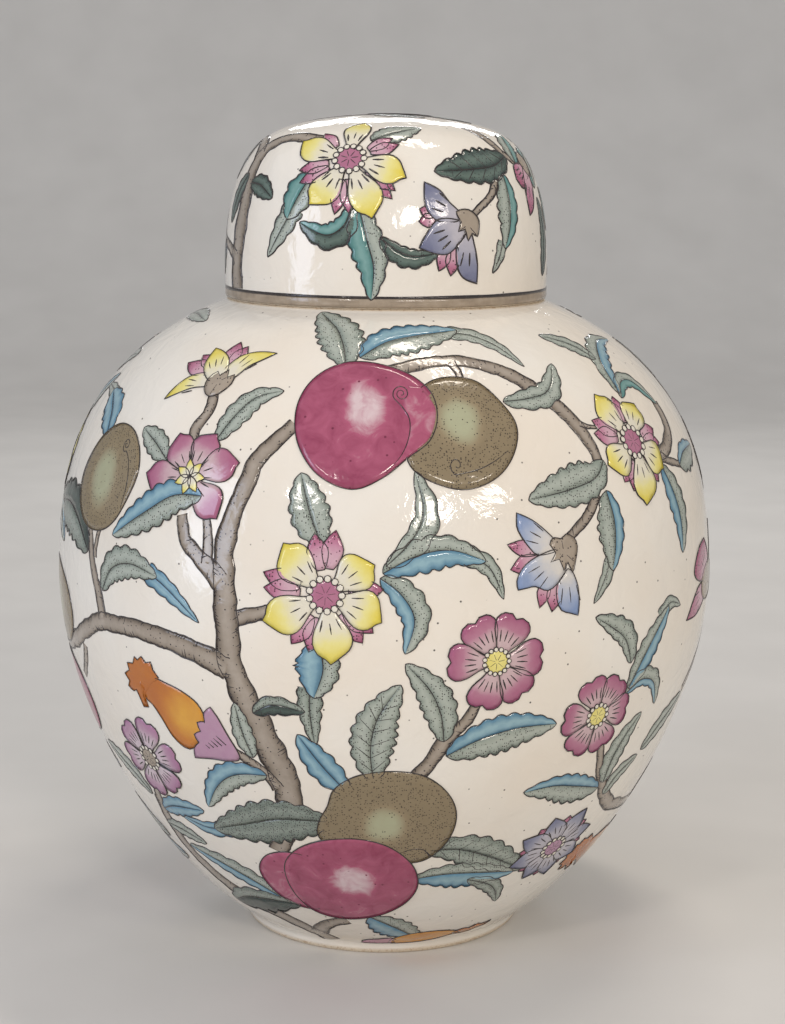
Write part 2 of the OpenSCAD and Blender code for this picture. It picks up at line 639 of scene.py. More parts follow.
class Palette:
    """Every enamel on the jar. The lid's share of leaves and blue petals is a darker batch."""

    def finishes(self) -> dict[Paint, OverglazeEnamel]:
        """The finish of each enamel: its name, its slot, its deep, middle and pale colours, and the rest."""
        leaf = {"mottle_size": 4.0, "dot_spacing": 0.58, "dots_deep": 1.0, "dots_pale": 0.3}
        sheen = {"gloss": 0.1, "mottle": 0.3}
        bark = {"mottle_size": 2.6, "dot_spacing": 0.75, "dots_deep": 0.55, "dots_pale": 0.04}
        rose = {"mottle": 0.55, "mottle_size": 6.0, "swirl": 0.8}
        rose |= {"dot_spacing": 2.4, "dots_deep": 0.5, "dot_size": 0.1, "dot_colour": "#6E2740"}
        olive = {"mottle": 0.12, "mottle_size": 6.0}
        olive |= {"dot_spacing": 0.63, "dots_deep": 1.0, "dot_colour": "#35291F"}
        sepal = {"dot_spacing": 0.75, "dots_deep": 1.0, "dots_pale": 0.2, "dot_colour": "#4A2836"}
        calyx = {"dot_spacing": 0.75, "dots_deep": 0.3}
        line = ("black_line_enamel", "#1E1918", "#2D2626", "#4C403A", {"mottle": 0.5})
        rows = {
            Paint.BARK: ("taupe_bark_enamel", "bark_brown_enamel", "#403730", "#85796B", "#A79C8F", bark),
            Paint.GREEN: (
                "grey_green_leaf_enamel", "leaf_green_enamel", "#6F7A71", "#8F988E", "#A9B0A6", leaf,
            ),
            Paint.DARK: (
                "dark_green_leaf_enamel", "leaf_green_enamel", "#26322F", "#3D4D47", "#5F7067", leaf,
            ),
            Paint.BLUE: (
                "turquoise_leaf_enamel", "leaf_blue_enamel", "#42708A", "#5F889E", "#8DAEB8", sheen,
            ),
            Paint.TEAL: ("teal_leaf_enamel", "leaf_blue_enamel", "#35686A", "#52827F", "#779E9A", sheen),
            Paint.ROSE: ("rose_fruit_enamel", "rose_enamel", "#85304E", "#A85570", "#D0BABD", rose),
            Paint.OLIVE: (
                "olive_fruit_enamel", "olive_fruit_enamel", "#71634B", "#8F8064", "#A9AB8D", olive,
            ),
            Paint.ORANGE: (
                "orange_fruit_enamel", "orange_enamel", "#A85A23", "#BF7629", "#D79E3A",
                {"gloss": 0.1, "mottle_size": 6.0},
            ),
            Paint.SEPAL: ("pink_sepal_enamel", "pink_enamel", "#A05773", "#B97C95", "#C9A4B0", sepal),
            Paint.PINK: ("pink_petal_enamel", "pink_enamel", "#A05878", "#AE748B", "#C5ABAE", {}),
            Paint.LILAC: ("lilac_petal_enamel", "pink_enamel", "#A57395", "#B18CA2", "#C8B7BF", {}),
            Paint.YELLOW: ("yellow_petal_enamel", "yellow_enamel", "#DDCB4C", "#E2D98E", "#DCD6C4", {}),
            Paint.SKY: ("blue_petal_enamel", "blue_petal_enamel", "#7A8FB6", "#ABB4C7", "#D4CFC7", {}),
            Paint.VIOLET: ("violet_petal_enamel", "blue_petal_enamel", "#6A6E8A", "#8E90A4", "#B9B5BD", {}),
            Paint.CALYX: ("fawn_calyx_enamel", "bark_brown_enamel", "#85796A", "#A39686", "#B3A899", calyx),
            Paint.SEED: ("cream_seed_enamel", "yellow_enamel", "#CFC4AC", "#DDD7C8", "#E7E1D6", {}),
            Paint.LINE: ("black_line_enamel", *line),
            Paint.FLOWER_LINE: ("black_flower_line_enamel", *line),
            Paint.RIM: (
                "brown_rim_glaze", "brown_rim_glaze", "#7E7163", "#9B8C79", "#B3A493",
                {"mottle": 0.5, "mottle_size": 2.5},
            ),
        }
        return {paint: OverglazeEnamel(*row[:-1], **row[-1]) for paint, row in rows.items()}


def in_scene(name: str, data: bpy.types.ID) -> bpy.types.Object:
    """Puts an object with this data in the scene."""
    made = bpy.data.objects.new(name, data)
    bpy.context.scene.collection.objects.link(made)
    return made


def new_piece(name: str, mesh: bmesh.types.BMesh, material: bpy.types.Material) -> bpy.types.Object:
    """Turns a mesh in the making into a smooth piece.

    Args:
        name: The piece's name.
        mesh: The mesh, which is freed.
        material: Its material.

    Returns:
        The piece, at the origin of the scene.
    """
    for f in mesh.faces:
        f.smooth = True
    data = bpy.data.meshes.new(name)
    mesh.to_mesh(data)
    mesh.free()
    data.materials.append(material)
    return in_scene(name, data)


def chain(
    mesh: bmesh.types.BMesh, points: Sequence[tuple[float, float, float]]
) -> tuple[list[bmesh.types.BMVert], list[bmesh.types.BMEdge]]:
    """Adds a run of vertices joined by edges.

    Args:
        mesh: The mesh in the making.
        points: Their places in metres.

    Returns:
        The vertices and the edges.
    """
    verts = [mesh.verts.new(p) for p in points]
    return verts, [mesh.edges.new(pair) for pair in zip(verts, verts[1:])]


class Coat:
    """One enamel on one pot: all its painted patches, gathered in one mesh."""

    def __init__(self, name: str, finish: OverglazeEnamel, body: str) -> None:
        """Starts an empty coat.

        Args:
            name: Name of the piece that it becomes.
            finish: Its enamel; kept on the coat but not used.
            body: The CAD body that it rides on.
        """
        self.name = name
        self.finish = finish
        self.body = body
        self.mesh = bmesh.new()
        self.shade = self.mesh.verts.layers.float.new("shade")

    def patch(
        self, pot: TurnedSurface, along: int, across: int, shape: Shape, far: bool, merge: bool = True
    ) -> None:
        """Paints one patch: a grid of cells laid on the pot.

        Args:
            pot: The surface that it lies on.
            along: Cells in the first direction.
            across: Cells in the second direction.
            shape: Gives the chart point, lift and shade at each (u, v), both from 0 to 1.
            far: Whether it goes on the far side.
            merge: Whether vertices of it fall together, as at a tip or where it closes on itself.
        """
        made = bmesh.ops.create_grid(self.mesh, x_segments=along, y_segments=across, size=0.5)["verts"]
        for v in made:
            at, lift, shade = shape(v.co.x + 0.5, v.co.y + 0.5)
            v[self.shade] = min(1.0, max(0.0, shade))
            v.co = pot.place(pot.turned(at) if far else at, lift)
        if merge:
            bmesh.ops.remove_doubles(self.mesh, verts=made, dist=0.002 * MM)
        faces = list({f for v in made if v.is_valid for f in v.link_faces})
        outward = 0.0
        for f in faces:
            f.normal_update()
            outward += f.normal.dot(f.calc_center_median() - pot.core) * f.calc_area()
        if outward < 0:
            bmesh.ops.reverse_faces(self.mesh, faces=faces)

    def finish_piece(self, material: bpy.types.Material) -> None:
        """Makes the coat a closed, smooth piece that rides on its body. A coat with no patches is left out.

        Args:
            material: The enamel's material.
        """
        if not self.mesh.faces:
            return
        piece = new_piece(self.name, self.mesh, material)
        shell = piece.modifiers.new("depth", "SOLIDIFY")
        shell.thickness = ENAMEL_DEPTH * MM
        shell.offset = -1.0
        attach(piece, self.body)
        log.info("%s: %d faces on %s", self.name, len(piece.data.polygons), self.body)


class Painter:
    """Lays motifs on one pot with its enamels.

    Chart points are (azimuth, way up) pairs. Widths, and lifts above the glaze, are in millimetres.
    """

    def __init__(self, pot: TurnedSurface, coats: dict[Paint, Coat], line: float) -> None:
        """Takes up the brush.

        Args:
            pot: The surface to paint.
            coats: The coat of each enamel.
            line: Width of its outlines.
        """
        self.pot = pot
        self.coats = coats
        self.line = line
        self.far = False
        self.swaps: dict[Paint, Paint] = {}
        self.strokes_made = 0

    def lay(self, paint: Paint, along: int, across: int, shape: Shape, merge: bool = True) -> None:
        """Paints one patch on the side that is being painted, with the paint that is used there."""
        self.coats[self.swaps.get(paint, paint)].patch(self.pot, along, across, shape, self.far, merge)

    def smooth(self, points: Sequence[Point], closed: bool = False, step: float = 0.0) -> list[Point]:
        """Runs a smooth line through points.

        Args:
            points: Chart points. A point given twice is a sharp corner.
            closed: Whether the line returns to its first point.
            step: Millimetres between the points of the line, or 0 for the pot's own.

        Returns:
            The line's points. A closed line repeats its first one at the end.
        """
        step = step or self.pot.cell
        count = len(points)
        found: list[Point] = []
        for i in range(count if closed else count - 1):
            near = [(i + k) % count if closed else min(max(i + k, 0), count - 1) for k in (-1, 0, 1, 2)]
            a, b, c, d = (points[k] for k in near)
            if b == c:
                continue
            cells = max(1, round(self.pot.apart(b, c) / step))
            for k in range(cells):
                found.append(tuple(curve_through(*four, k / cells) for four in zip(a, b, c, d)))
        found.append(points[0] if closed else points[-1])
        return found

    def sides(self, line: Sequence[Point]) -> list[Point]:
        """The unit vector to the left of a line at each of its points, in millimetres on the pot.

        Args:
            line: Chart points close together.

        Returns:
            One vector for each point.
        """
        closed = line[0] == line[-1]
        last = len(line) - 1
        found = []
        for i in range(last + 1):
            before = line[i - 1] if i else line[-2 if closed else 0]
            after = line[i + 1] if i < last else line[1 if closed else last]
            dx, dy = self.pot.gap(before, after)
            run = math.hypot(dx, dy) or 1.0
            found.append((-dy / run, dx / run))
        return found

    def offset(self, line: Sequence[Point], widths: Sequence[float]) -> list[Point]:
        """Moves each point of a line to its left by its own width in millimetres."""
        return [self.pot.shift(p, n[0] * w, n[1] * w) for p, n, w in zip(line, self.sides(line), widths)]

    def stroke(
        self,
        line: Sequence[Point],
        lift: float,
        width: float = 0.0,
        taper: Point = (1.0, 1.0),
        paint: Paint = Paint.LINE,
    ) -> None:
        """Draws one brush line whose width gives and swells a little, as a hand's does.

        Args:
            line: Chart points close together.
            lift: Its height.
            width: Its width, or 0 for the painter's own line.
            taper: Share of the width that is left at its start and end.
            paint: Its enamel.
        """
        width = width or self.line
        closed = line[0] == line[-1]
        self.strokes_made += 1
        last = len(line) - 1
        if last < 1:
            return
        widths = []
        for i in range(last + 1):
            share = i / last
            ends = taper[0] + (1 - taper[0]) * smooth_step(0, 0.3, share)
            ends *= taper[1] + (1 - taper[1]) * smooth_step(0, 0.3, 1 - share)
            swell = noise.noise(Vector((i * 0.23, self.strokes_made * 1.7, 0.5)))
            widths.append(width * ends * (0.95 + 0.35 * swell) / 2)
        left = self.offset(line, widths)
        right = self.offset(line, [-w for w in widths])
        if closed:
            left[-1], right[-1] = left[0], right[0]

        def shape(u: float, v: float) -> tuple[Point, float, float]:
            """One vertex of the line."""
            i = round(u * last)
            return mix(left[i], right[i], v), lift, 0.5

        self.lay(paint, last, 1, shape, merge=closed)

    def dash(
        self, points: Sequence[Point], lift: float, width: float, taper: Point, paint: Paint = Paint.LINE
    ) -> None:
        """Draws a smooth line through a few points, just above the coat that is at the lift."""
        self.stroke(self.smooth(points), lift + LINE_RISE, width * self.line, taper, paint)

    def blob(
        self,
        outline: Sequence[Point],
        paint: Paint,
        lift: float,
        shade: Shade,
        line: float = 0.0,
        line_paint: Paint = Paint.LINE,
    ) -> None:
        """Fills a closed outline and draws its edge.

        Args:
            outline: Chart points round the shape.
            paint: Its enamel.
            lift: Height of its middle.
            shade: Gives the shade at a chart point.
            line: Width of its edge, 0 for the painter's own line, or less for none.
            line_paint: Enamel of its edge.
        """
        rim = self.smooth(outline, closed=True)
        middle = middle_of(rim[:-1])
        reach = max(self.pot.apart(middle, p) for p in rim)
        last = len(rim) - 1

        def shape(u: float, v: float) -> tuple[Point, float, float]:
            """One vertex of the fill, from the middle at v 0 to the edge at v 1."""
            at = mix(middle, rim[round(u * last) % last], v)
            low = smooth_step(0.75, 1.0, v) * 0.06
            return at, lift - low, shade(at)

        self.lay(paint, last, max(3, round(reach / (1.3 * self.pot.cell))), shape)
        if line >= 0:
            self.stroke(rim, lift + LINE_RISE, line, paint=line_paint)

    def leaf(
        self,
        spine: Sequence[Point],
        left: float,
        right: float,
        paints: tuple[Paint, Paint] = (Paint.GREEN, Paint.GREEN),
        form: LeafForm = LeafForm.WHOLE,
        lobes: int = 7,
        rise: float = 0.0,
        tone: float = 0.0,
        veins: int = 0,
    ) -> None:
        """Paints a leaf as two halves with scalloped edges and a midrib.

        Args:
            spine: Chart points from its base to its tip.
            left: Widest reach of the half to the left of the spine.
            right: Widest reach of the half to the right.
            paints: Enamels of the left and right halves.
            form: Whether it is a whole leaf or a turned tip.
            lobes: Scallops down each side.
            rise: Extra height, for a leaf that lies over another.
            tone: How much darker it is than most.
            veins: Side veins down each half.
        """
        rib = self.smooth(spine, step=0.75)
        last = len(rib) - 1
        lift = (Lift.LEAF if form is LeafForm.WHOLE else Lift.TAIL).value + rise
        for sign, reach, paint in ((1, left, paints[0]), (-1, right, paints[1])):
            widths = []
            for i in range(last + 1):
                u = i / last
                if form is LeafForm.WHOLE:
                    body = math.sin(math.pi * min(1.0, u**0.85)) ** 0.8 if 0 < u < 1 else 0.0
                else:
                    body = math.cos(math.pi / 2 * u**1.3)
                scallop = 0.88 + 0.22 * abs(math.sin(math.pi * lobes * u + 0.4 * sign))
                widths.append(sign * reach * body * scallop)
            edge = self.offset(rib, widths)

            def shape(u: float, v: float) -> tuple[Point, float, float]:
                """One vertex of the half, from the midrib at v 0 to the edge at v 1."""
                i = round(u * last)
                shade = math.sin(math.pi * (0.13 + 0.8 * v)) ** 1.6 * (0.45 + 0.55 * smooth_step(0, 0.25, u))
                return mix(rib[i], edge[i], v), lift - 0.05 * smooth_step(0.7, 1, v), shade - tone

            self.lay(paint, last, 4, shape)
            self.stroke(edge, lift + LINE_RISE)
            for k in range(veins):
                i = round((0.12 + 0.72 * k / veins) * last)
                end = mix(rib[min(i + 4, last)], edge[min(i + 4, last)], 0.8)
                vein = [rib[i], mix(mix(rib[i], end, 0.5), rib[i], 0.12), end]
                self.dash(vein, lift, 0.7, (1.0, 0.3))
        self.stroke(rib[: max(2, round(0.93 * last))], lift + LINE_RISE, 0.8 * self.line, taper=(1.0, 0.3))

    def branch(self, spine: Sequence[Point], widths: Sequence[float]) -> None:
        """Paints a knobbly branch, dark down both sides.

        Args:
            spine: Chart points along it.
            widths: Its width from its start to its end, at even steps.
        """
        line = self.smooth(spine, step=0.9)
        last = len(line) - 1
        self.strokes_made += 1
        edges = []
        for sign in (1, -1):
            reach = []
            for i in range(last + 1):
                share = i / last * (len(widths) - 1)
                k = min(int(share), len(widths) - 2)
                width = widths[k] + (widths[k + 1] - widths[k]) * (share - k)
                knob = noise.noise(Vector((i * 0.21, sign * 5.0, self.strokes_made * 2.3)))
                rough = noise.noise(Vector((i * 0.63, sign * 9.0, self.strokes_made * 1.1)))
                reach.append(sign * width / 2 * (1 + 0.22 * knob) + sign * 0.22 * rough)
            edges.append(self.offset(line, reach))
        left, right = edges

        def shape(u: float, v: float) -> tuple[Point, float, float]:
            """One vertex of the branch, from its left edge at v 0 to its right edge at v 1."""
            i = round(u * last)
            side = abs(2 * v - 1)
            patch = 0.16 * noise.noise(Vector((i * 0.1, v * 1.5, self.strokes_made)))
            shade = 1.0 - 0.95 * side**2.2 - 0.25 * v + patch
            return mix(left[i], right[i], v), Lift.BARK.value - 0.04 * side**4, shade

        self.lay(Paint.BARK, last, 6, shape, merge=False)
        for edge in (left, right):
            self.stroke(edge, Lift.BARK.value + LINE_RISE, 1.2 * self.line)
        self.bark_ticks(left, right, max(widths))

    def bark_ticks(self, left: Sequence[Point], right: Sequence[Point], width: float) -> None:
        """Draws the short slanting ticks of rough bark inwards from both edges of a branch.

        Args:
            left: Chart points of its left edge.
            right: Chart points of its right edge.
            width: Its greatest width.
        """
        reach = min(0.42, 0.9 / width + 0.1)
        for k, (edge, other) in enumerate(((left, right), (right, left))):
            for i in range(2, len(edge) - 3):
                chance = noise.noise(Vector((i * 0.77, k * 4.0, self.strokes_made * 0.13)))
                if chance < 0.12:
                    continue
                inner = mix(edge[i + 1], other[i + 1], reach * (0.2 + 2.4 * chance))
                tick = [edge[i], mix(edge[i], inner, 0.55), inner]
                self.stroke(tick, Lift.BARK.value + LINE_RISE, taper=(1.0, 0.3))

    def petal(
        self,
        base: Point,
        tip: Point,
        half: float,
        paint: Paint,
        form: PetalForm = PetalForm.TULIP,
        lift: float = Lift.PETAL.value,
        veins: int = 3,
        vein_from: float = 0.3,
    ) -> None:
        """Paints one petal, pale at its base, with short dark veins.

        Args:
            base: Chart point of its root.
            tip: Chart point of its tip.
            half: Half of its width.
            paint: Its enamel.
            form: Its outline.
            lift: Its height.
            veins: How many veins it has.
            vein_from: Share of the length at which its veins start.
        """
        dx, dy = self.pot.gap(base, tip)
        run = math.hypot(dx, dy)
        way = (dx / run, dy / run)

        def local(along: float, across: float) -> Point:
            """Chart point at a share of the length and a share of the half width."""
            side = across * half
            forward = along * run
            return self.pot.shift(base, way[0] * forward - way[1] * side, way[1] * forward + way[0] * side)

        def shade(at: Point) -> float:
            """Pale at the root, full colour over the outer half."""
            gx, gy = self.pot.gap(base, at)
            share = (gx * way[0] + gy * way[1]) / run
            return 1.0 - smooth_step(0.3, 1.0, share)

        outline = [local(a, c) for a, c in form.value]
        self.blob(outline, paint, lift, shade, line_paint=Paint.FLOWER_LINE)
        length = 3.1 / run
        for k in range(veins):
            across = 1.1 * (k / (veins - 1) - 0.5)
            start = vein_from - 0.12 * abs(across)
            steps = ((0, 0.62), (0.5, 0.8), (1, 1))
            vein = [local(start + along * length, wide * across) for along, wide in steps]
            self.dash(vein, lift, 1.6, (0.45, 0.35), Paint.FLOWER_LINE)

    def disc(
        self, centre: Point, reach: float, paint: Paint, lift: float, shade: float, line: float = 0.0
    ) -> None:
        """Paints a small round spot with its edge.

        Args:
            centre: Its chart point.
            reach: Its radius.
            paint: Its enamel.
            lift: Its height.
            shade: Its shade at the middle.
            line: Width of its edge, or 0 for the painter's own line.
        """
        turns = [math.tau * k / 8 for k in range(8)]
        outline = [self.pot.shift(centre, reach * math.cos(t), reach * math.sin(t)) for t in turns]
        self.blob(outline, paint, lift, lambda at: shade, line, Paint.FLOWER_LINE)

    def blossom(
        self,
        centre: Point,
        petals: Sequence[Point],
        half: float,
        paint: Paint,
        form: PetalForm,
        heart: float,
        heart_paint: Paint,
        sepals: Sequence[Point] = (),
        sepal_half: float = 2.9,
        beads: int = 13,
        veins: int = 3,
        vein_start: float = 1.75,
    ) -> None:
        """Paints an open blossom with a beaded heart.

        Args:
            centre: Its chart point.
            petals: (direction in degrees, length) of each petal.
            half: Half width of a petal.
            paint: Enamel of the petals.
            form: Outline of the petals.
            heart: Radius of the ring of beads.
            heart_paint: Enamel inside the ring.
            sepals: (direction, length) of each sepal that shows behind.
            sepal_half: Half width of a sepal.
            beads: How many beads are in the ring, or 0 for a crown of pointed petals instead.
            veins: Veins on each petal.
            vein_start: Where the veins start, in radii of the heart.
        """

        def reach(direction: float, length: float) -> Point:
            """Chart point at a direction and distance from the centre."""
            turn = math.radians(direction)
            return self.pot.shift(centre, length * math.cos(turn), length * math.sin(turn))

        for direction, length in sepals:
            root, tip = reach(direction, 0.4 * length), reach(direction, length)
            self.petal(root, tip, sepal_half, Paint.SEPAL, PetalForm.SPEAR, Lift.SEPAL.value, veins=0)
        for k, (direction, length) in enumerate(petals):
            root, tip = reach(direction, 0.6 * heart), reach(direction, length)
            vein_from = (vein_start - 0.6) * heart / (length - 0.6 * heart)
            self.petal(root, tip, half, paint, form, Lift.PETAL.value + OVERLAP_RISE * k, veins, vein_from)
        top = Lift.PETAL.value + OVERLAP_RISE * len(petals)
        if not beads:
            for k in range(7):
                rise = top + 0.3 * OVERLAP_RISE * k
                tip = reach(SEVENTH_TURN * k, 1.9 * heart)
                self.petal(centre, tip, 0.5 * heart, heart_paint, PetalForm.SPEAR, rise, 0)
            return
        self.disc(centre, heart, heart_paint, top, 0.35)
        for k in range(7):
            turn = SEVENTH_TURN * k + 10
            stamen = [reach(turn, 0.15 * heart), reach(turn, 0.62 * heart)]
            self.dash(stamen, top, 0.8, (0.6, 0.5), Paint.FLOWER_LINE)
        for k in range(beads):
            spot = reach(360 * k / beads, heart)
            self.disc(
                spot, 0.9 * heart * math.pi / beads, Paint.SEED, top + OVERLAP_RISE, 0.6, 0.8 * self.line,
            )

    def side_blossom(
        self,
        root: Point,
        petals: Sequence[Sequence[Point]],
        paint: Paint,
        bits: Sequence[tuple[Point, Point, float]],
        calyx: Sequence[Point],
    ) -> None:
        """Paints a blossom seen from the side, held in its calyx.

        Args:
            root: Chart point that its petals spring from.
            petals: Chart points round each petal, the lowest first.
            paint: Enamel of the petals.
            bits: (root, tip, half width) of each pink petal that shows between.
            calyx: Chart points round the calyx.
        """
        for start, tip, half in bits:
            self.petal(start, tip, half, Paint.SEPAL, PetalForm.SPEAR, Lift.SEPAL.value, veins=0)
        for k, outline in enumerate(petals):
            lift = Lift.PETAL.value + OVERLAP_RISE * k
            reach = max(self.pot.apart(root, p) for p in outline)

            def shade(at: Point) -> float:
                """Pale at the root, full colour at the tip."""
                return 1.0 - smooth_step(0.25, 1.0, self.pot.apart(root, at) / reach)

            self.blob(outline, paint, lift, shade, line_paint=Paint.FLOWER_LINE)
            dx, dy = self.pot.gap(root, middle_of(outline))
            for side in (-0.22, 0, 0.22):
                way = (dx - side * dy, dy + side * dx)
                vein = [self.pot.shift(root, way[0] * f, way[1] * f) for f in (0.78, 0.95, 1.12)]
                self.dash(vein, lift, 1.4, (0.45, 0.35), Paint.FLOWER_LINE)
        top = Lift.PETAL.value + OVERLAP_RISE * len(petals)
        self.blob(calyx, Paint.CALYX, top, lambda at: 0.45, line_paint=Paint.FLOWER_LINE)
        middle = middle_of(calyx)
        for p in calyx[2::4]:
            self.dash([mix(p, middle, 0.15), mix(p, middle, 0.75)], top, 0.7, (1.0, 1.0))

    def strip(
        self,
        left: Sequence[Point],
        right: Sequence[Point],
        paint: Paint,
        lift: float,
        ends: Point,
        body: float,
    ) -> None:
        """Fills between two lines that start and end side by side.

        Args:
            left: Chart points down one side.
            right: Chart points down the other side.
            paint: Its enamel.
            lift: Its height.
            ends: Its shade at its start and at its end.
            body: Its shade in between.
        """
        rails = [self.smooth(points, step=0.5) for points in (left, right)]

        def shape(u: float, v: float) -> tuple[Point, float, float]:
            """One vertex of the fill."""
            a, b = (rail[round(u * (len(rail) - 1))] for rail in rails)
            shade = ends[0] + (body - ends[0]) * smooth_step(0, 0.25, u)
            return mix(a, b, v), lift, shade + (ends[1] - body) * smooth_step(0.8, 1, u)

        self.lay(paint, 24, 8, shape)

    def fruit(
        self,
        outline: Sequence[Point],
        glow: Point,
        glow_reach: Point,
        paint: Paint,
        rise: float = 0.0,
        crease: Sequence[Point] = (),
        pale: float = 0.0,
    ) -> None:
        """Paints a round fruit with a pale glow and the crease line that curls on it.

        Args:
            outline: Chart points round it.
            glow: Chart point of the glow.
            glow_reach: Half width and half height of the glow in millimetres.
            paint: Its enamel.
            rise: Extra height, for the fruit that lies in front.
            crease: Chart points of the crease line.
            pale: Extra paleness all over, for a lobe behind.
        """

        def shade(at: Point) -> float:
            """Full colour, and the glow fading out from its middle."""
            dx, dy = self.pot.gap(glow, at)
            far = math.hypot(dx / glow_reach[0], dy / glow_reach[1])
            far += 0.12 * noise.noise(Vector((at[0] * 0.3, at[1] * 0.2, 4.0)))
            return 0.32 + pale + 0.62 * (1 - smooth_step(0.45, 1.35, far))

        lift = Lift.FRUIT.value + rise
        self.blob(outline, paint, lift, shade)
        if crease:
            self.stroke(self.smooth(crease, step=0.4), lift + 2 * LINE_RISE, taper=(0.8, 0.4))

    def curl(self, centre: Point, size: float, start: float, turns: float = 1.6) -> list[Point]:
        """Points of a spiral that unrolls from a centre, for the end of a crease line.

        Args:
            centre: Chart point of its middle.
            size: Its outer radius.
            start: Direction of its outer end in degrees.
            turns: How many turns it makes.

        Returns:
            Chart points from the middle outwards.
        """
        steps = 20
        found = []
        for k in range(steps + 1):
            share = k / steps
            turn = math.radians(start) - math.tau * turns * (1 - share)
            reach = size * (0.15 + 0.85 * share)
            found.append(self.pot.shift(centre, 0.8 * reach * math.cos(turn), reach * math.sin(turn)))
        return found


# Short names for what most leaves are called with: the leaf enamels and the turned tip.
G, B, T, D = Paint.GREEN, Paint.BLUE, Paint.TEAL, Paint.DARK
TAIL = LeafForm.TAIL
# Enamels that change places on the far side of the jar and of the lid.
JAR_SWAPS = {
    Paint.YELLOW: Paint.PINK,
    Paint.PINK: Paint.YELLOW,
    Paint.ROSE: Paint.OLIVE,
    Paint.OLIVE: Paint.ROSE,
    Paint.SKY: Paint.LILAC,
}
LID_SWAPS = {Paint.YELLOW: Paint.PINK, Paint.PINK: Paint.YELLOW}


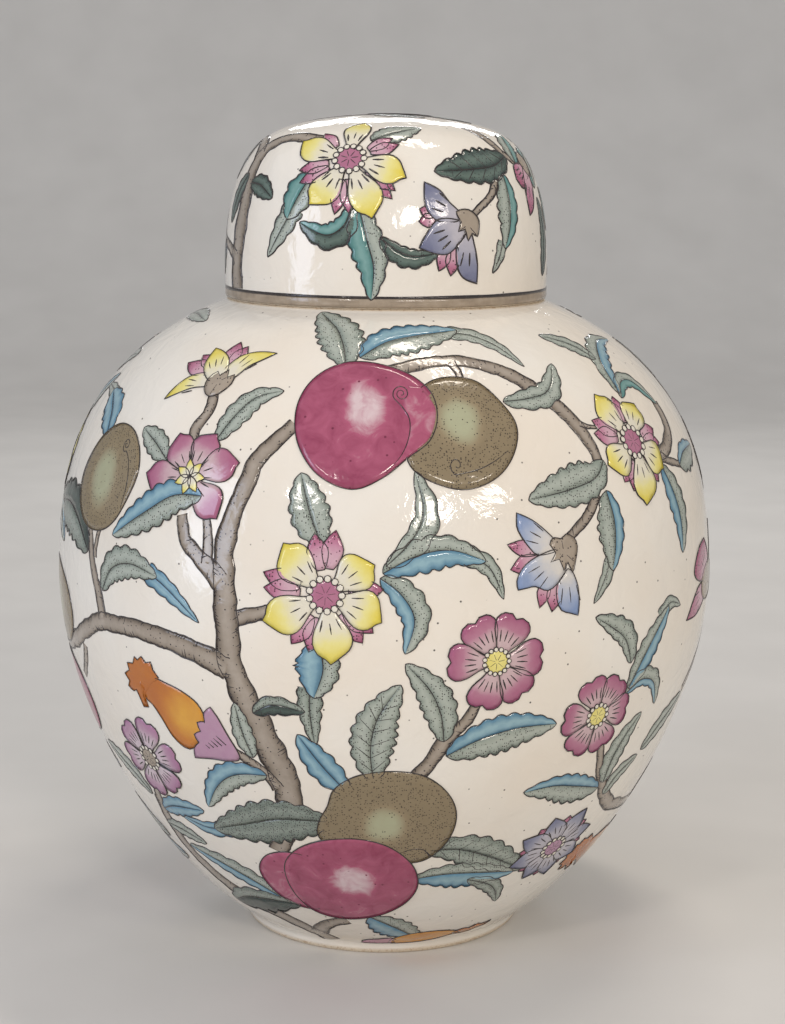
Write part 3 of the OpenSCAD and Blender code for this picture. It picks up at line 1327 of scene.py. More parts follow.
class JarPainting:
    """The fruiting branches round the jar's body."""

    def __init__(self, painter: Painter) -> None:
        """Takes the painter whose chart is the jar's body."""
        self.art = painter

    def paint(self) -> None:
        """Paints the front, and repeats it round the back with other fruit and blossom."""
        for far in (False, True):
            self.art.far = far
            self.art.swaps = JAR_SWAPS if far else {}
            self.branches()
            self.upper_leaves()
            self.middle_leaves()
            self.lower_leaves()
            self.fruits()
            self.yellow_blossoms()
            self.pink_blossoms()
            self.side_blossoms()
            self.pomegranates()
            self.joining_spray()

    def branches(self) -> None:
        """The trunk, its limbs and the flower stems."""
        art = self.art
        trunk = [
            (-16.5, 183), (-20.3, 176), (-22.5, 171), (-23.7, 163), (-25.2, 155), (-26, 147), (-25.8, 136),
            (-25.2, 125), (-24.7, 115), (-22.5, 105), (-20, 94), (-18, 84), (-17.3, 73), (-18.5, 63),
            (-22.5, 52),
        ]
        art.branch(trunk, [4, 4.8, 5, 5.2, 6, 6.8, 7, 7.2, 8, 8.2, 8.6, 8.2, 7.4, 6, 5])
        art.branch([(-10, 19.5), (-15, 17), (-19, 13), (-22.5, 7)], [4, 4.4, 5, 5])
        art.branch(
            [
                (-52.5, 63), (-53.6, 52.6), (-53, 42.8), (-50.4, 35.5), (-45, 27), (-38, 21), (-29.5, 14),
                (-24.5, 8), (-20, 1),
            ],
            [3.4, 4.4, 5.2, 6, 7, 8, 6.5, 6, 6],
        )
        art.leaf(
            [(-49, 19), (-40, 24.5), (-31, 26.5), (-22, 27)], 4.6, 8, (G, D), lobes=5, rise=0.06, tone=0.5,
        )
        art.branch(
            [
                (-25.5, 114), (-31, 117.5), (-40, 120.4), (-49, 120.6), (-55, 119.5), (-61, 115),
                (-68, 109.5), (-78, 105.5), (-90, 104),
            ],
            [7, 6.2, 5.4, 5.2, 5.2, 5, 5, 6, 6],
        )
        art.branch([(-53.3, 121), (-54.8, 129), (-57, 136.5), (-58.7, 147)], [4.4, 3.8, 3, 2.4])
        art.branch([(-56.2, 138), (-56, 142), (-55.2, 147)], [2, 1.8, 1.8])
        art.branch([(-62, 110), (-63.2, 105), (-66.5, 99)], [3, 2.6, 2.4])
        art.branch([(-26.5, 138), (-29.8, 143), (-33.3, 148), (-34.8, 155)], [6, 5, 4, 3.2])
        art.branch([(-29, 142.5), (-29.2, 150), (-30.4, 158)], [3.6, 2.8, 2.4])
        art.branch([(-23.5, 128.5), (-20.5, 130), (-16, 132)], [4.4, 4, 4])
        art.branch([(-35.2, 173), (-36.4, 179), (-35, 185), (-36, 192)], [3.2, 3.6, 3.4, 3])
        art.branch(
            [(1, 201.5), (8, 204.6), (14, 205.5), (20, 204.3), (25.5, 201), (29, 197), (31.5, 193)],
            [4, 4.6, 4.4, 4.4, 4.6, 5, 5],
        )
        art.branch([(14.5, 205), (15.6, 201.5), (15.6, 197)], [3, 2, 2.2])
        art.branch([(32.5, 191.5), (35, 186.5), (37.7, 180), (39.4, 173), (39.5, 166)], [5, 4.8, 4.6, 3.6, 3])
        art.branch([(38.3, 181.5), (40, 180.2), (42, 179.8)], [1.8, 1.2, 1])
        art.branch([(37.5, 161), (35.5, 156), (32.5, 152), (29.5, 148.5)], [3, 2.8, 2.6, 2.6])
        art.branch([(66.8, 184), (66, 176), (62, 170.5), (57, 168.5)], [3.8, 4.4, 4.6, 3.6])
        art.branch([(58, 168), (61, 166), (65.5, 164)], [3, 2.4, 2])
        art.branch([(15.2, 107), (13.6, 101), (10.3, 95), (8.4, 89), (5.6, 83)], [2.8, 3.2, 4, 4.4, 4])
        art.branch(
            [(42, 86), (44, 77.5), (47, 71), (50, 65.5), (55, 60), (63, 56.5), (75, 54)],
            [2.4, 3, 4, 5, 4.6, 4, 4],
        )
        art.branch([(-50.3, 70), (-51.8, 65), (-52.8, 58)], [2.4, 2.8, 3.2])
        art.branch([(-27.5, 89), (-24, 86), (-21, 82), (-19, 77)], [2.6, 2.6, 3, 4])
        art.branch([(70, 94), (75, 100), (82, 104), (90, 104)], [2.6, 3.4, 4, 4.6])

    def upper_leaves(self) -> None:
        """Leaves of the shoulder."""
        art = self.art
        art.leaf([(-8.7, 203.5), (-10.4, 212), (-14, 220.5), (-21.5, 229)], 6.2, 6.2, lobes=8)
        art.leaf([(17, 218.3), (23, 216.5), (28, 211.3), (31.9, 202)], 3.2, 3.2, form=TAIL, lobes=5)
        art.leaf([(-5.8, 206.8), (0, 213.5), (8, 216.8), (19.8, 219.4)], 6, 7, (B, G), lobes=9)
        art.leaf([(23.2, 190), (29, 190.6), (34.5, 193), (39.8, 202.3)], 3.4, 4, lobes=6)
        art.leaf([(40.8, 170), (38.2, 165.5), (32.5, 163), (24, 161)], 4.8, 6.4, lobes=8)
        art.leaf([(39, 143), (37.8, 138), (35.2, 131)], 2.5, 2, form=TAIL, lobes=3)
        art.leaf([(39.8, 161.5), (40.6, 153), (40.2, 145), (39.3, 139.3)], 3.4, 6.2, (B, G), lobes=6)
        art.leaf([(55.8, 202), (52, 209.3), (44.3, 214.8)], 3.4, 3.2, lobes=5)
        art.leaf([(54, 189), (56, 199), (61, 205.6), (67.5, 209), (75, 208)], 4, 4, (G, B), lobes=7)
        art.leaf([(53.8, 187.5), (57.5, 192.5), (62.5, 192), (67, 183)], 2.8, 2.8, (G, T), lobes=6)
        art.leaf([(64.8, 164), (69.5, 167), (77.5, 167.5)], 3, 6, (B, G), lobes=4)
        art.leaf([(57, 165.5), (59.2, 157), (60.3, 149), (59.9, 139.3)], 5, 4.6, (G, B), lobes=6)
        art.leaf([(-9.9, 150), (-12.1, 159), (-14, 169)], 5.3, 5.2, lobes=6)
        art.leaf([(0.3, 144.5), (4.3, 151.5), (6.2, 159), (5, 170)], 2.4, 4.6, lobes=5)
        art.leaf([(-67, 184.2), (-72.5, 186.2), (-79, 187)], 2.6, 2.2, form=TAIL, lobes=3)
        art.leaf([(-61.5, 173), (-65, 180.3), (-71.5, 186)], 5, 5.2, (B, B), lobes=5)
        art.leaf([(-40.6, 169.3), (-44.6, 173.6), (-49.6, 177.4)], 3.6, 3.8, lobes=5)
        art.leaf([(-31, 176.5), (-28.7, 184.5), (-25.5, 190.8), (-20.4, 193.4)], 3.8, 4, lobes=6)
        art.leaf([(-89.5, 219), (-78, 220.5), (-63.5, 218.8)], 3.4, 3.2)

    def middle_leaves(self) -> None:
        """Leaves round the belly."""
        art = self.art
        art.leaf([(12.7, 147.3), (16.6, 143.3), (18.8, 134.8)], 2.8, 2.6, form=TAIL, lobes=4)
        art.leaf([(-0.2, 142.6), (5, 147.2), (10.4, 148.6), (16, 145.3)], 4.2, 5, (G, B), lobes=7)
        art.leaf([(-0.6, 141.3), (2.6, 137), (4.7, 130), (3.3, 120.8)], 4.6, 3.6, (G, B), lobes=6)
        art.leaf([(-11.6, 110.5), (-11.8, 103), (-11.3, 92.5)], 3.6, 3.4, form=TAIL, lobes=5, tone=0.3)
        art.leaf([(-10.2, 124), (-9.4, 116), (-11, 107.5)], 4.4, 7.6, (G, B), lobes=6)
        art.leaf(
            [(-31.3, 160.6), (-37, 159.8), (-43, 154), (-50.7, 145.8)], 5.6, 5, (G, B), lobes=9, rise=0.22,
        )
        art.leaf([(-41.2, 137.8), (-36.5, 133.8), (-30.3, 126)], 2.9, 3.1, (B, B), form=TAIL, lobes=5)
        art.leaf([(-53.2, 129.3), (-50.6, 136.2), (-45.5, 138.9), (-39, 136.8)], 5, 4.4, lobes=8)
        art.leaf([(-58.8, 139), (-65, 147), (-72, 150), (-84, 147)], 8, 7, (G, D), lobes=9, tone=0.35)
        art.leaf([(-22.7, 87), (-24, 95), (-24.7, 104)], 3, 3.2, lobes=5)
        art.leaf([(-21.5, 101.5), (-18, 104.6), (-12.6, 103.2)], 2.6, 3, (G, D), lobes=4, tone=0.4)
        art.leaf([(51.8, 122.6), (55, 126.2), (58.7, 124.4)], 2.6, 2.6, form=TAIL, lobes=3)
        art.leaf([(45.2, 103.5), (47.6, 111), (50.5, 118), (54.4, 125.4)], 4, 4.4, (G, B), lobes=7)
        art.leaf([(44.6, 111.5), (42.6, 119), (39, 123.6), (35.6, 127)], 2.4, 4.6, lobes=6)
        art.leaf([(44.8, 102), (48.5, 105.2), (52.7, 103), (55.3, 95.2)], 3.6, 2.2, (G, B), lobes=6)
        art.leaf([(47, 71.5), (46.8, 79.5), (48.3, 87), (51.3, 94)], 4.4, 4, lobes=6)
        art.leaf([(49.3, 66), (51.3, 72.5), (56.3, 77.6)], 3.2, 3, lobes=4)
        art.leaf([(46, 70), (39.5, 72.8), (33, 75), (26.6, 74.4)], 6, 4, (G, B), lobes=8)
        art.leaf([(10, 94.5), (9.2, 103), (7.2, 110.5), (3.4, 118)], 4.4, 4.8, lobes=7)
        art.leaf([(10.6, 89.8), (16.5, 94.7), (23, 97.1), (30, 96.9)], 5.2, 6.4, (B, G), lobes=9)
        art.leaf([(-1.6, 82), (-2.1, 92), (-0.9, 102), (2.7, 112)], 5.6, 6.4, lobes=9, veins=6)
        art.leaf([(-6.3, 77.5), (-10.3, 86), (-14.2, 96)], 4.4, 4.2, (B, B), lobes=5)
        art.leaf([(-20.7, 81.3), (-27, 80), (-31.6, 75), (-36, 65.7)], 4, 4.6, (G, B), lobes=8)
        art.leaf([(57, 79), (62, 86), (70, 93)], 4, 4, lobes=5)

    def lower_leaves(self) -> None:
        """Leaves of the lower part, down to the foot."""
        art = self.art
        art.leaf([(-33, 58.5), (-39, 56.4), (-46.5, 58.6)], 3.4, 2.6, (B, B), form=TAIL, lobes=4)
        art.leaf([(-10, 66.3), (-20, 65.4), (-29, 61), (-37, 56.8)], 8.4, 7, lobes=9, tone=0.6)
        art.leaf([(-52.3, 58.5), (-47, 61.5), (-38, 63.3)], 3.6, 3.6, (B, B), lobes=6)
        art.leaf([(-55, 51.5), (-49, 51), (-42.6, 48.3)], 3.2, 3, lobes=5)
        art.leaf([(-54.5, 63), (-58.5, 69), (-63, 73), (-68.5, 76)], 3.6, 4, lobes=6)
        art.leaf([(-61, 44), (-68, 47), (-75, 54)], 4, 4, lobes=6)
        art.leaf([(-59, 36), (-68, 36), (-78, 40)], 4, 4, (G, B), lobes=6)
        art.leaf([(-26, 28), (-33, 35), (-41, 40.5), (-50.5, 44.7)], 4, 5, (B, G), lobes=7)
        art.leaf([(20, 40.5), (26, 36.8), (29.5, 32.5), (32.2, 26)], 3, 2.8, lobes=5, tone=0.25)
        art.leaf([(9, 55), (16, 54.5), (24, 49.5), (34, 41.3)], 6.4, 5.6, lobes=8, tone=0.25, veins=5)
        art.leaf([(7, 42.6), (14, 44), (22, 43.2), (32, 41)], 4.4, 6.4, (G, B), lobes=8)
        art.leaf([(-3.5, 22.5), (2.2, 17), (7.6, 11.3), (12, 5)], 5, 6.6, (G, B), lobes=7)
        art.leaf([(72, 54.5), (76, 62), (84, 66)], 4, 4, (G, B), lobes=6)

    def fruits(self) -> None:
        """The rose and olive fruits, in pairs."""
        art = self.art
        olive_high = [
            (5, 191), (9, 197.5), (14, 199.2), (19, 197.2), (22.6, 190), (24.4, 182.5), (22.8, 174.5),
            (19, 167.8),
            (13.5, 164.7), (8, 166.8), (4.2, 171.5), (3.5, 179),
        ]
        crease = [*art.curl((12.1, 171.4), 2.6, -100, 1.1), (15.6, 170), (18.8, 172.2), (21.6, 175)]
        art.fruit(olive_high, (13.7, 184.5), (6, 7.5), Paint.OLIVE, 0.0, crease)
        rose_high = [
            (-16.8, 186.5), (-15.2, 177), (-11.2, 168.7), (-5.5, 164.9), (-0.5, 168), (3.8, 173.6),
            (7.8, 178.6),
            (9.6, 186), (8.9, 194), (5, 200.3), (-1.5, 204.3), (-8, 204.9), (-13, 201.3), (-16, 195),
        ]
        crease = [
            *art.curl((3.1, 193.3), 2.9, 215, 1.9),
            (3.3, 188.6), (4.4, 185), (4.2, 180), (2.8, 174.5), (0.2, 169.6),
        ]
        art.fruit(rose_high, (-3.8, 189), (5.5, 8.2), Paint.ROSE, 0.05, crease)
        art.strip(
            [(4.6, 196), (3.3, 188.6), (4.4, 185), (4.2, 180), (2.8, 174.5), (0.2, 169.6)],
            [(6.9, 196), (9.1, 190), (9.3, 186), (7.6, 179), (3.8, 174.2), (0.3, 169.6)],
            Paint.ROSE, Lift.FRUIT.value + 0.05 + LINE_RISE, (0.34, 0.38), 0.52,
        )
        olive_left = [
            (-66.2, 160.5), (-64.6, 151.5), (-60.5, 146.2), (-55, 146), (-50.8, 150), (-48, 157.5),
            (-46.9, 165),
            (-48.9, 172), (-53, 176.6), (-58.4, 177), (-63.3, 171.5),
        ]
        crease = [*art.curl((-52.6, 171.6), 2.2, -60, 1.6), (-50.4, 167), (-49.2, 161), (-49.6, 153.5)]
        art.fruit(olive_left, (-57.2, 161), (7, 9), Paint.OLIVE, 0.0, crease)
        olive_low = [
            (-12.6, 60), (-12.2, 66), (-10.2, 72), (-8.7, 78.3), (-5, 83), (0, 85), (6, 84.1), (10.3, 79.5),
            (13.1, 73),
            (14, 66), (13, 58.5), (10, 52.3), (6, 50), (-3, 50), (-9, 54),
        ]
        crease = [(9.9, 52.2), (8.4, 55.5), (6, 56), (3, 54)]
        art.fruit(olive_low, (0.4, 65.5), (6, 6.6), Paint.OLIVE, 0.0, crease)
        rose_lobe = [
            (-20, 52.3), (-25.5, 49.8), (-29, 43.5), (-29.3, 37), (-27, 30), (-22, 25.5), (-16, 27),
            (-14, 40), (-15, 50),
        ]
        art.fruit(rose_lobe, (-60, 40), (3, 8), Paint.ROSE, 0.05, (), 0.14)
        rose_low = [
            (-22.7, 39.5), (-21.6, 47.5), (-18, 54), (-12.3, 58.6), (-5.5, 60.2), (0, 58.2), (4.3, 53.3),
            (7.3, 46.5),
            (8.2, 38.5), (6, 31), (1, 25), (-5, 21.8), (-12, 21), (-18.5, 24), (-21.8, 31),
        ]
        art.fruit(rose_low, (-6.8, 41.5), (6.5, 7), Paint.ROSE, 0.1)
        olive_side = [
            (-92, 112), (-86.5, 107), (-79, 105.5), (-72, 107.6), (-67.8, 113), (-67, 120), (-70.5, 127),
            (-78, 131),
            (-86, 130), (-92, 125.5), (-94, 118.5),
        ]
        crease = [*art.curl((-88, 124), 2.4, -60, 1.4), (-85.6, 118), (-84, 113), (-80, 109)]
        art.fruit(olive_side, (-77.6, 119), (7, 7), Paint.OLIVE, 0.0, crease)
        rose_side = [
            (-93, 90), (-91, 82.5), (-85, 77.6), (-77, 76.6), (-70.5, 79.4), (-67, 86), (-67.6, 94),
            (-72, 100.5),
            (-80, 103), (-88.5, 100),
        ]
        art.fruit(rose_side, (-80, 90), (7, 6.4), Paint.ROSE, 0.05)

    def yellow_blossoms(self) -> None:
        """Open blossoms with pointed yellow petals and pink sepals."""
        self.art.blossom(
            (-9, 136.5),
            [(137, 18), (38, 15.5), (209, 19), (-20, 16.5), (-81, 19)],
            5.4, Paint.YELLOW, PetalForm.TULIP, 4.4, Paint.PINK,
            [
                (102, 16.8), (82, 17.6), (163, 18.2), (176, 17.2), (-106, 16.4), (-124, 16.6), (-52, 16.2),
                (-38, 16.2), (7, 15.6),
            ],
        )
        self.art.blossom(
            (50.3, 174),
            [(119, 17.5), (52, 15), (208, 14.5), (-35, 14.5), (-90, 18.5)],
            5.2, Paint.YELLOW, PetalForm.TULIP, 4.4, Paint.PINK,
            [
                (86, 14.5), (100, 14), (150, 16), (165, 15.5), (10, 14), (-8, 14), (-62, 14.5), (-112, 15),
                (-128, 14),
            ],
        )

    def pink_blossoms(self) -> None:
        """Open blossoms with round pink petals."""
        art = self.art
        art.blossom(
            (17.8, 117.7), [(120, 13.6), (65, 13.6), (2, 13.8), (-50, 13.8), (-105, 14), (178, 13.8)], 5.2,
            Paint.PINK, PetalForm.HEART, 3.5, Paint.YELLOW, veins=4, beads=15,
        )
        art.blossom(
            (38.7, 97), [(112, 12.8), (58, 12.6), (2, 12.4), (-62, 12.8), (-122, 13), (178, 12.6)], 5,
            Paint.PINK, PetalForm.HEART, 3.5, Paint.YELLOW, veins=4,
        )
        art.blossom(
            (-48.3, 78.8), ring(6, 13.4, 12), 4.8, Paint.LILAC, PetalForm.HEART, 3.6, Paint.CALYX, veins=4,
        )
        art.blossom(
            (-34.5, 165.5),
            [(187, 16.5), (130, 14.5), (72, 14), (24, 16), (-40, 15)],
            4.9, Paint.PINK, PetalForm.TULIP, 2.7, Paint.YELLOW, beads=0,
        )
        art.blossom(
            (40.7, 48.6), ring(8, 14.5, 20), 4, Paint.VIOLET, PetalForm.SPEAR, 3.8, Paint.LILAC,
            [(k * 45 + 42, 12.6) for k in range(8)],
        )

    def side_blossoms(self) -> None:
        """Blossoms seen from the side."""
        art = self.art
        low = [
            (32, 128.4), (32, 128.4), (30.5, 129.3), (28.9, 130.3), (28, 133.4), (28.1, 137.6), (30.2, 141.6),
            (31, 140.8), (32, 136.4), (32.2, 131.4),
        ]
        high = [
            (21.6, 157.8), (21.6, 157.8), (24.2, 155.6), (26.5, 152.4), (28.4, 148.9), (28.4, 146.8),
            (25, 146),
            (23.5, 147.9), (22, 151.6), (21.4, 154.3),
        ]
        near = [
            (21.2, 137), (21.2, 137), (21, 139.4), (22, 142.8), (24.5, 145.6), (28.6, 147), (29.8, 142),
            (28.5, 138.5),
            (26.4, 136.2), (24.2, 137.6), (22.9, 137.4),
        ]
        calyx = [
            (27, 148.6), (27.8, 150.4), (29.2, 149.9), (30.2, 151), (31.6, 149.9), (32.2, 147.4),
            (31.6, 143), (31, 140.4),
            (30.2, 143.4), (29.4, 141.2), (28.6, 144.4), (27, 143.8), (28, 146.2),
        ]
        art.side_blossom(
            (29.8, 146.6), [low, high, near], Paint.SKY,
            [
                ((25, 147), (19.6, 149.4), 2.2), ((25, 145), (20, 142.6), 2.6),
                ((26.4, 140), (24.9, 131.6), 2), ((28, 139), (27.1, 130.2), 2.4),
            ],
            calyx,
        )
        left = [
            (-48, 187), (-48, 187), (-47.2, 191), (-45, 195.5), (-41, 197.6), (-37.6, 195.5), (-38.5, 193),
            (-42.5, 191.6),
        ]
        middle = [
            (-44.3, 207.4), (-44.3, 207.4), (-41, 206.4), (-37.5, 203.5), (-35.6, 198), (-38, 194.6),
            (-41.2, 197), (-43.4, 201),
        ]
        right = [
            (-26, 207.3), (-26, 207.3), (-28.8, 204), (-31, 201.4), (-33.2, 196.4), (-36, 195.6),
            (-36.8, 199), (-35.2, 204.6),
            (-32.6, 206.8), (-29.4, 207.6),
        ]
        calyx = [
            (-39.4, 195.4), (-38.6, 191.6), (-36.6, 189.6), (-34.4, 191), (-32.8, 194.6), (-33.2, 197.8),
            (-34.6, 196.6),
            (-35.4, 199.4), (-36.8, 197), (-38, 198.4),
        ]
        art.side_blossom(
            (-36.4, 193.6), [left, right, middle], Paint.YELLOW,
            [
                ((-40, 198), (-49, 200.4), 3), ((-39, 200), (-46.4, 204), 2.6),
                ((-37, 200), (-38.4, 211), 3.2), ((-36, 201), (-35, 209.4), 2.8),
            ],
            calyx,
        )
        high = [(62, 118.5), (62, 118.5), (64.6, 123.4), (68, 127), (73, 127), (72, 122), (67, 118.6)]
        near = [(72.5, 140), (72.5, 140), (68, 138), (65, 132), (68, 128.4), (74, 128), (76, 134)]
        knot = [(70, 124), (74, 121), (80, 123), (80, 131), (74, 132), (70, 129)]
        art.side_blossom((74, 127), [high, near], Paint.SEPAL, [], knot)

    def joining_spray(self) -> None:
        """Twigs, leaves and blossom that fill the gap where the front's pattern meets its repeat."""
        art = self.art
        art.branch(
            [(80, 103), (84, 112), (86.5, 124), (86, 136), (88.5, 148), (92, 158)],
            [5, 4.8, 4.4, 4, 3.4, 3],
        )
        art.branch([(86.2, 138), (90.5, 143), (96, 146)], [2.8, 2.2, 2])
        art.branch([(92, 160), (90, 172), (86, 183), (85.5, 192)], [3, 3, 2.6, 2.4])
        art.branch([(74, 54), (83, 54.5), (91, 59), (96, 66)], [4, 3.8, 3.2, 2.8])
        art.branch([(84, 54.5), (88.5, 48), (91, 42)], [3, 2.6, 2.4])
        art.leaf([(87, 128), (83, 134), (82, 143)], 4.4, 4, (G, B), lobes=6)
        art.leaf([(96, 146), (102, 145), (107.5, 138)], 4.2, 4.4, (B, G), lobes=6)
        art.leaf([(86.6, 120), (91.5, 121), (96, 115)], 3.6, 4, lobes=5)
        art.leaf([(85.5, 190), (87.5, 199), (86, 207)], 3.4, 3.6, (G, B), lobes=6)
        art.leaf([(85.5, 190), (93, 196), (101, 199)], 4, 4.2, lobes=7)
        art.leaf([(88.6, 176), (96, 181), (103, 191)], 4.2, 4.4, (B, G), lobes=7)
        art.leaf([(95.6, 64), (96, 71), (92, 77)], 3.4, 3.8, (G, B), lobes=5)
        art.leaf([(96, 66), (103, 68), (110, 66)], 3.6, 4, lobes=6)
        art.leaf([(79, 54), (79, 45), (83, 36)], 4, 3.6, (B, G), lobes=6)
        art.leaf([(96, 26), (98, 18), (107, 12)], 4.2, 4, (G, B), lobes=6)
        art.blossom(
            (92, 163), ring(6, 13.4, 20), 5.6, Paint.PINK, PetalForm.HEART, 3.7, Paint.YELLOW, veins=4,
        )
        art.blossom(
            (92.5, 35), ring(6, 11.6, 40), 4.6, Paint.LILAC, PetalForm.HEART, 3.2, Paint.CALYX, veins=3,
        )

    def pomegranates(self) -> None:
        """Small orange pomegranates with their crowns and pink calyxes."""
        self.pomegranate((-37.5, 99), 0.0)
        self.pomegranate((65.5, 38), 25.0)
        art = self.art
        calyx = [(-8, 1.4), (-5.5, 4), (-1, 5.2), (3, 6.4), (5, 5), (4, 3), (5, 1.6), (0, 0.9)]
        body = [
            (2.6, 1.2), (4.4, 6.4), (10, 10), (17, 10.8), (23.5, 9.6), (28, 7), (25, 4), (20, 2.2), (12, 1),
            (6, 0.8),
        ]
        crown = [
            (25.6, 7.4), (28.4, 9.4), (31.2, 9), (33.4, 11.4), (35.6, 10.2), (38.6, 11.6), (38, 8.8),
            (35, 7.2), (33, 5), (29, 4.6),
            (27, 5),
        ]
        parts = ((crown, Paint.ORANGE, 0.3), (calyx, Paint.SEPAL, 0.7), (body, Paint.ORANGE, 0.75))
        for outline, paint, tone in parts:
            art.blob(outline, paint, Lift.FRUIT.value, lambda spot: tone)

    def pomegranate(self, middle: Point, turn: float) -> None:
        """Paints one pomegranate.

        Args:
            middle: Chart point of the middle of its body.
            turn: How far it is turned anticlockwise, in degrees.
        """
        art = self.art
        cos, sin = math.cos(math.radians(turn)), math.sin(math.radians(turn))

        def at(points: Sequence[Point]) -> list[Point]:
            """Chart points at millimetres from its middle, turned with the fruit."""
            return [art.pot.shift(middle, cos * x - sin * y, sin * x + cos * y) for x, y in points]

        crown = at(
            [
                (-3.6, 8.6), (-5.4, 10.8), (-6, 13), (-8, 12.4), (-9.6, 14), (-11.4, 12.6), (-12.6, 13.4),
                (-13.6, 11.2),
                (-16.2, 11), (-15.8, 8.8), (-18.2, 7.4), (-16.6, 5.4), (-17.6, 3.6), (-15.4, 2.4),
                (-14.2, 3), (-13, 0),
                (-12.4, -2), (-10.2, -1.6), (-10.6, 1.6), (-8.4, 4.4), (-5.6, 7),
            ]
        )
        fruit = at(
            [
                (-11.6, 4.6), (-9.6, 7.6), (-5.6, 8.4), (-1.2, 7.6), (4.4, 6), (9.2, 3), (10.8, -1.4),
                (8.6, -7.4), (4.6, -12),
                (1, -12.6), (-2.8, -9.6), (-5.4, -4.6), (-8, -0.6), (-10.8, 1.4),
            ]
        )
        calyx = at(
            [
                (13.4, 2.6), (13.4, 2.6), (15.2, 0), (17.4, -5), (20.4, -12.6), (16.4, -14.4),
                (10.6, -14.6), (4, -15.4),
                (4, -15.4), (4.6, -12), (7, -9.8), (7, -9.8), (6, -7.2), (8.6, -5.8), (8.6, -5.8), (8, -3),
                (10.8, -2.4), (10.8, -2.4), (11, 0.6),
            ]
        )
        shine = at([(6, -2)])[0]

        def shade(spot: Point) -> float:
            """Brightest to the right of the middle."""
            return 0.95 - 0.75 * smooth_step(2, 14, art.pot.apart(shine, spot))

        lift = Lift.FRUIT.value
        art.blob(fruit, Paint.ORANGE, lift, shade)
        art.blob(crown, Paint.ORANGE, lift + OVERLAP_RISE, shade, line=-1)
        art.stroke(art.smooth(crown[:-3]), lift + OVERLAP_RISE + LINE_RISE)
        art.blob(calyx, Paint.LILAC, lift + 2 * OVERLAP_RISE, lambda spot: 0.45)
        for k in range(5):
            tick = at([(16.6 - k * 1.5, -9 - k * 0.5), (13.8 - k * 1.1, -6.4 - k * 0.9)])
            art.stroke(art.smooth(tick), lift + 2 * OVERLAP_RISE + LINE_RISE, 0.4, (1.0, 0.4))


